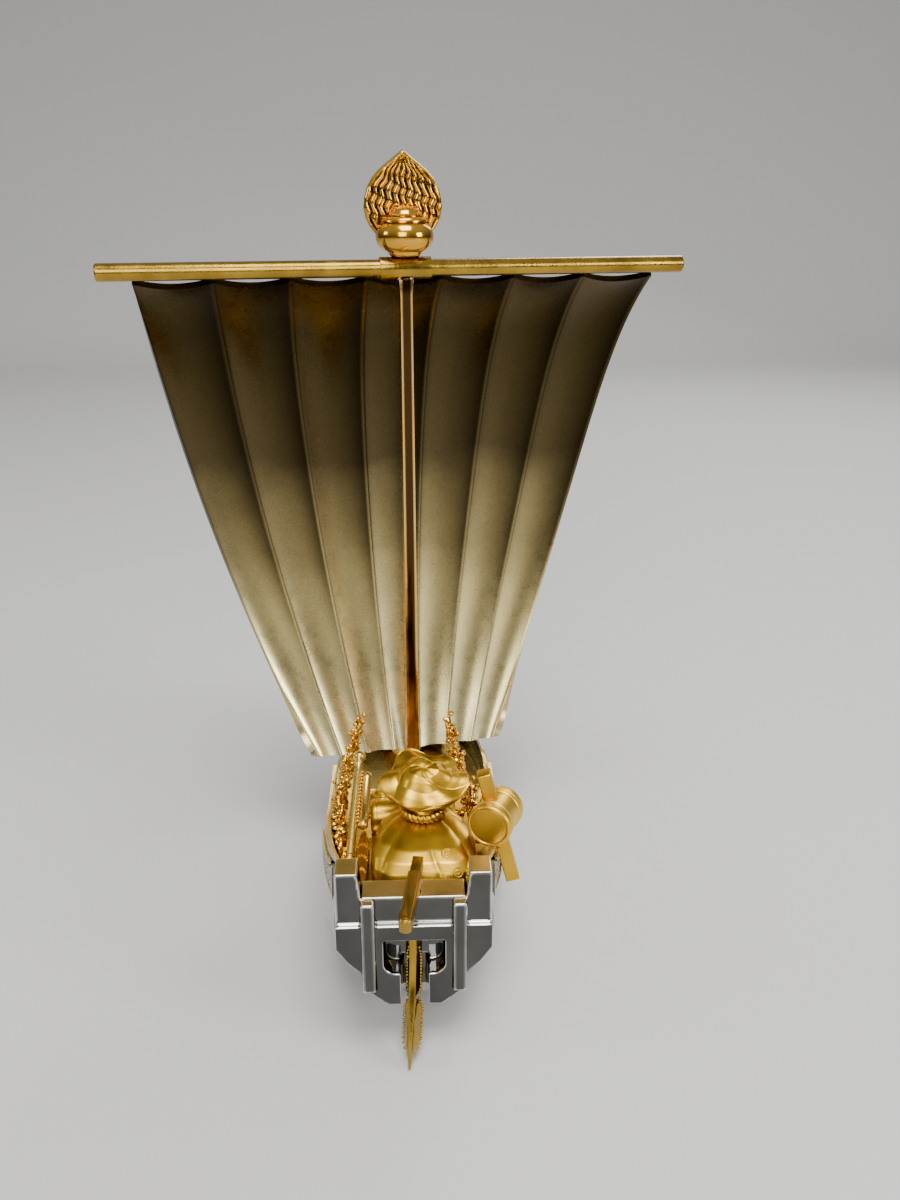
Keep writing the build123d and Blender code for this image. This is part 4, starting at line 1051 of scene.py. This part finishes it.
# %% Roller rod
ROD_LOW, ROD_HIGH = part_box("roller_rod")
ROD_LONG = (ROD_HIGH.x - ROD_LOW.x) / MM
rod_end = [(0.0, 0.0), (0.8, 0.0), (1.2, 0.3), (1.28, 0.9), (0.95, 1.3), (0.9, 1.7), (1.2, 1.9), (1.2, 2.3)]
rod_rings = rod_end + [(radius, ROD_LONG - height) for radius, height in rod_end[::-1]]
rod = lathe("roller_rod_turned", rod_rings, 32)
stood(rod, (ROD_LOW.x, ROLL_FOOT.y, ROLL_FOOT.z), (ROD_HIGH.x, ROLL_FOOT.y, ROLL_FOOT.z))
smoothed(rod, 40.0)
finished(rod, "hull", polished_gold, "roller_rod")

# %% Knobbed staff
STAFF_KNOB = Vector((-13.9, -28.0, 51.3)) * MM
STAFF_FOOT = Vector((-16.0, -62.0, 35.6)) * MM
STAFF_LONG = (STAFF_KNOB - STAFF_FOOT).length / MM
staff_rings = [(0.0, 0.0), (0.9, 0.0), (1.15, 0.3), (1.15, 8.0), (1.35, 8.2), (1.35, 8.9), (1.15, 9.1)]
staff_head = [(1.1, 6.0), (1.3, 5.8), (1.3, 5.2), (1.0, 5.0), (0.85, 2.4), (1.05, 2.1), (0.8, 1.7)]
staff_rings += [(radius, STAFF_LONG - below) for radius, below in staff_head]
staff_rings += arc_rings(0.0, STAFF_LONG, 1.65, -58.0, 84.0, 12) + [(0.0, STAFF_LONG + 1.65)]
staff = lathe("knobbed_staff_turned", staff_rings, 40)
stood(staff, STAFF_FOOT, STAFF_KNOB)
smoothed(staff, 40.0)
finished(staff, "hull", pale_gold, "knobbed_staff")

# %% Scroll, lying along the staff
SCROLL_LONG = 16.5
staff_down = (STAFF_FOOT - STAFF_KNOB).normalized()
across_staff = Vector((1.0, 0.0, 0.0)) - staff_down * staff_down.x
across_staff.normalize()
SCROLL_HEAD = STAFF_KNOB + staff_down * 5.0 * MM + across_staff * 2.5 * MM
SCROLL_FOOT = SCROLL_HEAD + staff_down * SCROLL_LONG * MM
scroll_rings = [(0.0, 0.0), (0.9, 0.0), (1.2, 0.25), (1.3, 0.6), (1.3, 2.2), (1.2, 2.35), (1.2, 14.2)]
scroll_rings += [(1.3, 14.4), (1.3, 15.4), (1.2, 15.9), (0.8, 16.35), (0.0, SCROLL_LONG)]
scroll = lathe("scroll_turned", scroll_rings, 40)
stood(scroll, SCROLL_FOOT, SCROLL_HEAD)
smoothed(scroll, 40.0)
finished(scroll, "hull", pale_gold, "scroll")


# %% Beaded strip between staff and scroll
def ball(place, radius):
    """A small ball with its place in its mesh, both in metres."""
    bpy.ops.object.select_all(action="DESELECT")
    bpy.ops.mesh.primitive_ico_sphere_add(subdivisions=2, radius=radius, location=place)
    bpy.ops.object.transform_apply(location=True, rotation=True, scale=True)
    return bpy.context.object


STAFF_BEADS = 15
BEAD_STEP = 1.05
BEAD_LIFT = Vector((0.0, 0.0, 0.75 * MM))
staff_beads = []
for number in range(STAFF_BEADS):
    place = STAFF_KNOB + staff_down * (5.5 + BEAD_STEP * number) * MM + across_staff * 1.15 * MM
    staff_beads.append(ball(place + BEAD_LIFT, 0.5 * MM))
strip = joined(staff_beads, "staff_beads")
smoothed(strip, 60.0)
finished(strip, "hull", polished_gold)

# %% [markdown]
# ## Straw and rice
# The raincoat is a bundle of straw laid in tiers, the hat a shallow cone plaited round and round,
# and the bales are wrapped in straw and tied with rope. In metal all of that is relief: fine ribs
# that run with the straw, and a step where each tier ends.


# %% Straw raincoat
RAINCOAT_X = -12.5
RAINCOAT_AFT = -66.0
RAINCOAT_LONG = 23.0
TIERS = 5.0
STRANDS = 22.0


def raincoat_point(turn, along):
    """A point of the rolled raincoat, lying fore and aft, its straw in tiers."""
    angle = 2.0 * math.pi * turn
    body = math.sin(math.pi * along) ** 0.35 if 0.0 < along < 1.0 else 0.0
    tier = (along * TIERS) % 1.0
    strands = 1.0 + 0.07 * math.cos(STRANDS * angle + 5.0 * along) - 0.16 * tier * body
    share = (0.72 + 0.28 * math.sin(math.pi * along)) * body * strands
    x = RAINCOAT_X + 1.7 * share * math.cos(angle)
    z = DECK + 3.6 + 3.55 * share * math.sin(angle)
    return Vector((x, RAINCOAT_AFT + RAINCOAT_LONG * along, z)) * MM


raincoat = wrapped("straw_raincoat_cast", 150, 90, raincoat_point)
smoothed(raincoat, 50.0)
finished(raincoat, "hull", cargo_gold, "straw_raincoat")

# %% Straw hat
HAT_PLACE = Vector((-8.2, -24.2, DECK)) * MM
HAT_UNDER = 0.4  # share of the rule that runs under the hat
PLAITS = 34.0
PANES = 4.0


def hat_point(turn, along):
    """A point of the hat, from under its crown to the brim and up over the plaited cone."""
    angle = 2.0 * math.pi * turn
    if along < HAT_UNDER:
        share = along / HAT_UNDER
        radius, height = 6.3 * share, 4.5 * (1.0 - share)
    else:
        share = (along - HAT_UNDER) / (1.0 - HAT_UNDER)
        radius = 7.0 * (1.0 - share) + 0.12 * math.cos(PLAITS * share) * (1.0 - share)
        height = 0.05 + 5.5 * share**0.9 + 0.1 * math.sin(PLAITS * share)
        height += 0.14 * abs(math.cos(PANES * angle)) * (1.0 - share)
    radius *= 1.0 - 0.02 * abs(math.sin(PANES * angle))
    return HAT_PLACE + Vector((radius * math.cos(angle), radius * math.sin(angle), height)) * MM


hat = wrapped("straw_hat_cast", 128, 96, hat_point)
smoothed(hat, 50.0)
finished(hat, "hull", cargo_gold, "straw_hat")

# %% Rice bales and their ropes
BALE_R = 4.9
BALE_LONG = 13.0
BALE_AFT = 31.0
BALE_LOW = 20.0 + BALE_R + 0.6
BALE_PLACES = [(-BALE_R - 0.3, BALE_LOW), (BALE_R + 0.3, BALE_LOW), (0.0, BALE_LOW + 1.74 * BALE_R + 0.5)]
ROPE_SHARES = (0.28, 0.72)
ROPE_TWISTS = 14.0
# each row: place along the rule, radius, distance from the after end
BALE_SECTIONS = [
    (0.0, 0.0, 0.8),
    (0.1, 1.5, 0.35),
    (0.2, 3.7, 0.0),
    (0.25, 4.35, 0.3),
    (0.3, 4.45, 1.2),
    (0.5, 4.85, 6.5),
    (0.7, 4.45, 11.8),
    (0.75, 4.35, 12.7),
    (0.8, 3.7, 13.0),
    (0.9, 1.5, 12.65),
    (1.0, 0.0, 12.2),
]


def bale_point(turn, along):
    """A point of one bale about its own axis: straw ribs, domed end mats, a dimple in each."""
    angle = 2.0 * math.pi * turn
    radius, length = stepped(BALE_SECTIONS, along)
    radius *= 1.0 - 0.012 + 0.012 * math.cos(44.0 * angle)
    return Vector((radius * math.cos(angle), length, radius * math.sin(angle))) * MM


def rope_point(turn, along):
    """A point of a twisted rope ring about the bale's axis."""
    angle = 2.0 * math.pi * turn
    tube = 2.0 * math.pi * along
    thick = 0.42 * (0.8 + 0.2 * abs(math.cos(tube + ROPE_TWISTS * angle)))
    radius = BALE_R - 0.15 + thick * math.cos(tube)
    return Vector((radius * math.cos(angle), thick * math.sin(tube), radius * math.sin(angle))) * MM


def copies(source, name, places):
    """Copies of source at places, each with its own mesh, joined into one piece."""
    made = []
    for number, place in enumerate(places):
        copy = source.copy()
        copy.data = source.data.copy()
        copy.name = f"{name}_{number}"
        copy.data.transform(Matrix.Translation(place))
        bpy.context.scene.collection.objects.link(copy)
        made.append(copy)
    bpy.data.objects.remove(source)
    return joined(made, name)


bale_places = [Vector((x, BALE_AFT, z)) * MM for x, z in BALE_PLACES]
bales = copies(wrapped("bale", 176, 60, bale_point), "rice_bales_cast", bale_places)
smoothed(bales, 50.0)
finished(bales, "hull", cargo_gold, "rice_bales")
rope_places = [
    Vector((x, BALE_AFT + share * BALE_LONG, z)) * MM for x, z in BALE_PLACES for share in ROPE_SHARES
]
ropes = copies(wrapped("bale_rope", 132, 12, rope_point), "bale_ropes_twisted", rope_places)
smoothed(ropes, 60.0)
finished(ropes, "hull", pale_gold, "bale_ropes")

# %% [markdown]
# ## Coral
# Each coral tree leans along its bulwark as a fan of knobbly branches. Bars along the branches give
# the tree, small balls the knobs, and a voxel remesh melts them into one casting, as the molten
# metal did.

# %% Coral trees
# each branch: its root and its tip, fore and aft and above the deck, and its share of full thickness
CORAL_TREE = [
    ((-60.0, 6.5), (-52.0, 4.0), 0.8),
    ((-52.0, 4.0), (-38.0, 7.0), 1.0),
    ((-46.0, 1.9), (-38.0, 7.0), 1.0),
    ((-38.0, 7.0), (-24.0, 9.0), 0.95),
    ((-24.0, 9.0), (-12.0, 13.5), 0.8),
    ((-12.0, 13.5), (-7.5, 17.4), 0.6),
    ((-52.0, 4.0), (-50.0, 8.5), 0.7),
    ((-38.0, 7.0), (-35.0, 12.0), 0.75),
    ((-24.0, 9.0), (-22.5, 14.6), 0.8),
    ((-24.0, 9.0), (-15.0, 8.0), 0.75),
    ((-12.0, 13.5), (-14.0, 16.6), 0.6),
    ((-38.0, 7.0), (-30.0, 3.5), 0.75),
]
STARBOARD_AFT = -47.0  # nothing of the starboard tree stands further aft
BRANCH_STEP = 1.3
BRANCH_SIDES = 3
KNOBS = 3  # for each step of a branch


def bar(name, points, radii):
    """A round bar along points in metres with a radius in millimetres at each, made a mesh."""
    curve = bpy.data.curves.new(name, "CURVE")
    curve.dimensions = "3D"
    curve.bevel_depth = MM
    curve.bevel_resolution = BRANCH_SIDES
    curve.use_fill_caps = True
    line = curve.splines.new("POLY")
    line.points.add(len(points) - 1)
    for spot, place, radius in zip(line.points, points, radii):
        spot.co = (*place, 1.0)
        spot.radius = radius
    obj = bpy.data.objects.new(name, curve)
    bpy.context.scene.collection.objects.link(obj)
    alone(obj)
    bpy.ops.object.convert(target="MESH")
    return named(name)


def coral_x(side, along):
    """How far from the centre line a tree stands, in millimetres."""
    if side == "port":
        return -19.15 + 0.005 * (along + 38.0) ** 2
    return 18.2 - 0.19 * max(0.0, along + 50.0)


def coral_tree(side, seed):
    """One knobbly tree, melted into a single shell."""
    dice = random.Random(seed)
    parts = []
    for number, (start, end, size) in enumerate(CORAL_TREE):
        if side == "starboard" and min(start[0], end[0]) < STARBOARD_AFT:
            continue
        root = Vector((coral_x(side, start[0]), start[0], DECK + start[1]))
        tip = Vector((coral_x(side, end[0]), end[0], DECK + end[1]))
        steps = max(4, int((tip - root).length / BRANCH_STEP))
        points, radii = [], []
        for step in range(steps + 1):
            share = step / steps
            jitter = Vector((0.0, dice.uniform(-0.3, 0.3), dice.uniform(-0.3, 0.3)))
            place = root.lerp(tip, share) + jitter
            points.append(place * MM)
            radii.append(1.5 * (0.3 + 0.7 * size) * (1.05 - 0.2 * share) * dice.uniform(0.8, 1.05))
        parts.append(bar(f"branch_{number}", points, radii))
        for knob in range(KNOBS * steps):
            spot = Vector(points[1 + knob % steps])
            nudge = Vector((dice.uniform(-1.3, 1.3), dice.uniform(-1.6, 1.6), dice.uniform(-1.5, 1.8))) * MM
            parts.append(ball(spot + nudge, dice.uniform(0.65, 1.15) * (0.4 + 0.6 * size) * MM))
    tree = joined(parts, f"coral_{side}_cast")
    modified(tree, "REMESH", mode="VOXEL", voxel_size=0.26 * MM)
    modified(tree, "SMOOTH", factor=0.5, iterations=2)
    smoothed(tree, 60.0)
    return finished(tree, "hull", polished_gold, f"coral_{side}")


coral_tree("port", 11)
coral_tree("starboard", 23)

# %% [markdown]
# ## The rudder's leaf
# The rudder is a gilded leaf on edge. The blade's outline is right already, so it keeps its frame
# shape with soft edges, made thinner towards its foot. Two raised leaves lie on each of its faces,
# one above the other, each ridged down its middle and pointed at both ends, and small beads follow
# the ridges. Rays find the blade's two edges at each height, so the leaves' grids follow its
# outline.

# %% Rudder blade, thinned towards its foot
BLADE_HALF = 0.9
THIN_SHARE = 0.3  # share of its thickness that is left at the foot
THIN_BELOW = 15.0 * MM
softened("rudder_blade", "rudder_blade_cast", 0.35 * MM, "rudder", rudder_gold)
blade = bpy.context.object
turned(blade, -RUDDER_TURN, STOCK_PLACE)
for vertex in blade.data.vertices:
    vertex.co.x *= THIN_SHARE + (1.0 - THIN_SHARE) * min(1.0, vertex.co.z / THIN_BELOW)
turned(blade, RUDDER_TURN, STOCK_PLACE)
blade_tree = BVHTree.FromObject(blade, bpy.context.evaluated_depsgraph_get())


# %% Raised leaves and their beads
# each leaf: its foot and head, and how far its ridge stands off the blade
UPPER_LEAF = (12.4, 28.6, 0.9)
LOWER_LEAF = (2.0, 14.2, 1.4)
UPPER_BEADS = 17
LOWER_BEADS = 13


def blade_edges(height):
    """The blade's trailing and leading edges at a height, unturned, in millimetres."""
    found = []
    for start in (-95.0, -60.0):
        origin = Vector((0.0, start, height)) * MM
        away = Vector((0.0, 1.0 if start < -80.0 else -1.0, 0.0))
        spin = Matrix.Rotation(RUDDER_TURN, 4, "Z")
        about = Matrix.Translation(STOCK_PLACE) @ spin @ Matrix.Translation(-STOCK_PLACE)
        hit = blade_tree.ray_cast(about @ origin, spin @ away)[0]
        found.append(None if hit is None else (about.inverted() @ hit).y / MM)
    return found


def leaf_point(hand, low, high, proud):
    """The rule of a raised leaf on one face of the blade, pointed at both ends and ridged down its middle."""

    def rule(turn, along):
        height = low + (high - low) * along
        trailing, leading = blade_edges(height)
        middle = (trailing + leading) / 2.0
        point = min(1.0, 1.5 * (1.0 - abs(2.0 * along - 1.0) ** 1.6) + 0.02)
        half = (leading - trailing) / 2.0 * 0.9 * point
        angle = 2.0 * math.pi * turn
        outside = math.cos(angle) > 0.0
        rise = proud * point * (1.0 - abs(math.sin(angle))) ** 0.8
        side = hand * (BLADE_HALF - 0.15 + (rise if outside else 0.0))
        return Vector((side, middle + half * math.sin(angle), height)) * MM

    return rule


leaves = []
rudder_beads = []
for hand in (-1, 1):
    leaves.append(wrapped("leaf_upper", 32, 24, leaf_point(hand, *UPPER_LEAF)))
    leaves.append(wrapped("leaf_lower", 32, 24, leaf_point(hand, *LOWER_LEAF)))
for hand in (-1, 1):
    for leaf, number in ((LOWER_LEAF, LOWER_BEADS), (UPPER_LEAF, UPPER_BEADS)):
        ridge = leaf_point(hand, *leaf)
        for step in range(1, number):
            rudder_beads.append(ball(ridge(0.0, 0.06 + 0.88 * step / number), 0.36 * MM))
trim = joined(leaves + rudder_beads, "rudder_trim")
turned(trim, RUDDER_TURN, STOCK_PLACE)
smoothed(trim, 50.0)
finished(trim, "rudder", rudder_gold)

# %% [markdown]
# ## Wave reliefs on the bulwarks
# Each after bulwark carries a framed panel of rolling waves. The panel follows the hull's curve, so
# rays find the bulwark's surface first, and the panel's points then stand off it: high on the frame
# and on the curling crests, low in the ground between them.


# %% Rolling waves
WAVE_TALL = 3.4
WAVE_LONG = 5.2
CURL = 1.25


def crest(y, z):
    """Height of the wave pattern, 0 to 1, from rows of curling crests."""
    row = math.floor(z / WAVE_TALL)
    column = (y + (row % 2) * WAVE_LONG / 2.0) / WAVE_LONG
    local_y = (column - math.floor(column) - 0.5) * WAVE_LONG
    local_z = z - row * WAVE_TALL - 0.3
    distance = math.hypot(local_y, local_z)
    turn = math.atan2(local_z, local_y)
    rings = 0.5 + 0.5 * math.cos(2.0 * math.pi * distance / CURL - turn)
    return rings**1.5 * max(0.0, min(1.0, (WAVE_TALL - distance) / 0.8))


# %% Relief panels
PANEL_GRID = (130, 76)
PANEL_FOOT = (35.0, 31.0)  # heights at the after and the forward end
PANEL_HEAD = (46.3, 42.0, 40.6)  # heights at the after end, at the rail's step and at the forward end
RAIL_STEP = 8.5 / 22.5  # share of the panel's length aft of the rail's step
FRAME_WIDE = 1.25
FRAME_RISE = 0.62
GROUND_RISE = 0.12
CREST_RISE = 0.5
PANEL_THICK = 0.3 * MM


def surface_of(source):
    """A ray tree of a frame piece."""
    mesh = nodes[source].data
    points = [vertex.co.copy() for vertex in mesh.vertices]
    return BVHTree.FromPolygons(points, [tuple(face.vertices) for face in mesh.polygons])


def panel_head(along):
    """Height of the panel's upper edge."""
    aft, step, fore = PANEL_HEAD
    if along < RAIL_STEP:
        return aft + (step - aft) * along / RAIL_STEP
    return step - (step - fore) * (along - RAIL_STEP) / (1.0 - RAIL_STEP)


def panel_rise(y, z, from_edge, length):
    """How far the relief stands out: frame, a lower ground, and waves on it."""
    if from_edge < 0.036 * length:
        return FRAME_RISE
    return GROUND_RISE if from_edge < FRAME_WIDE else GROUND_RISE + CREST_RISE * crest(y, z)


def relief_panel(side):
    """The framed wave panel of one bulwark."""
    hand = -1.0 if side == "port" else 1.0
    low, high = (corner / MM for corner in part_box(f"{side}_relief"))
    tree = surface_of(f"{side}_relief")
    bpy.ops.object.select_all(action="DESELECT")
    bpy.ops.mesh.primitive_grid_add(x_subdivisions=PANEL_GRID[0], y_subdivisions=PANEL_GRID[1], size=2.0)
    panel = named(f"{side}_relief_cast")
    length = high.y - low.y
    for vertex in panel.data.vertices:
        along, up = (vertex.co.x + 1.0) / 2.0, (vertex.co.y + 1.0) / 2.0
        foot = PANEL_FOOT[0] + (PANEL_FOOT[1] - PANEL_FOOT[0]) * along
        head = panel_head(along)
        y = min(max(low.y + length * along, low.y + 0.06), high.y - 0.06)
        z = foot + 0.15 + (head - foot - 0.5) * up
        hit = tree.ray_cast(Vector((hand * 60.0, y, z)) * MM, Vector((-hand, 0.0, 0.0)))[0]
        outside = hit.x / MM if hit else hand * 20.0
        from_edge = min(y - low.y, high.y - y, z - foot, head - z)
        rise = panel_rise(y, z, from_edge, length)
        vertex.co = Vector((outside - hand * (0.66 - rise), y, z)) * MM
    panel.data.update()
    modified(panel, "SOLIDIFY", thickness=PANEL_THICK, offset=hand * -1.0)
    closed(panel, 0.000001)
    smoothed(panel, 50.0)
    return finished(panel, "hull", gilded_rails, f"{side}_relief")


relief_panel("port")
relief_panel("starboard")
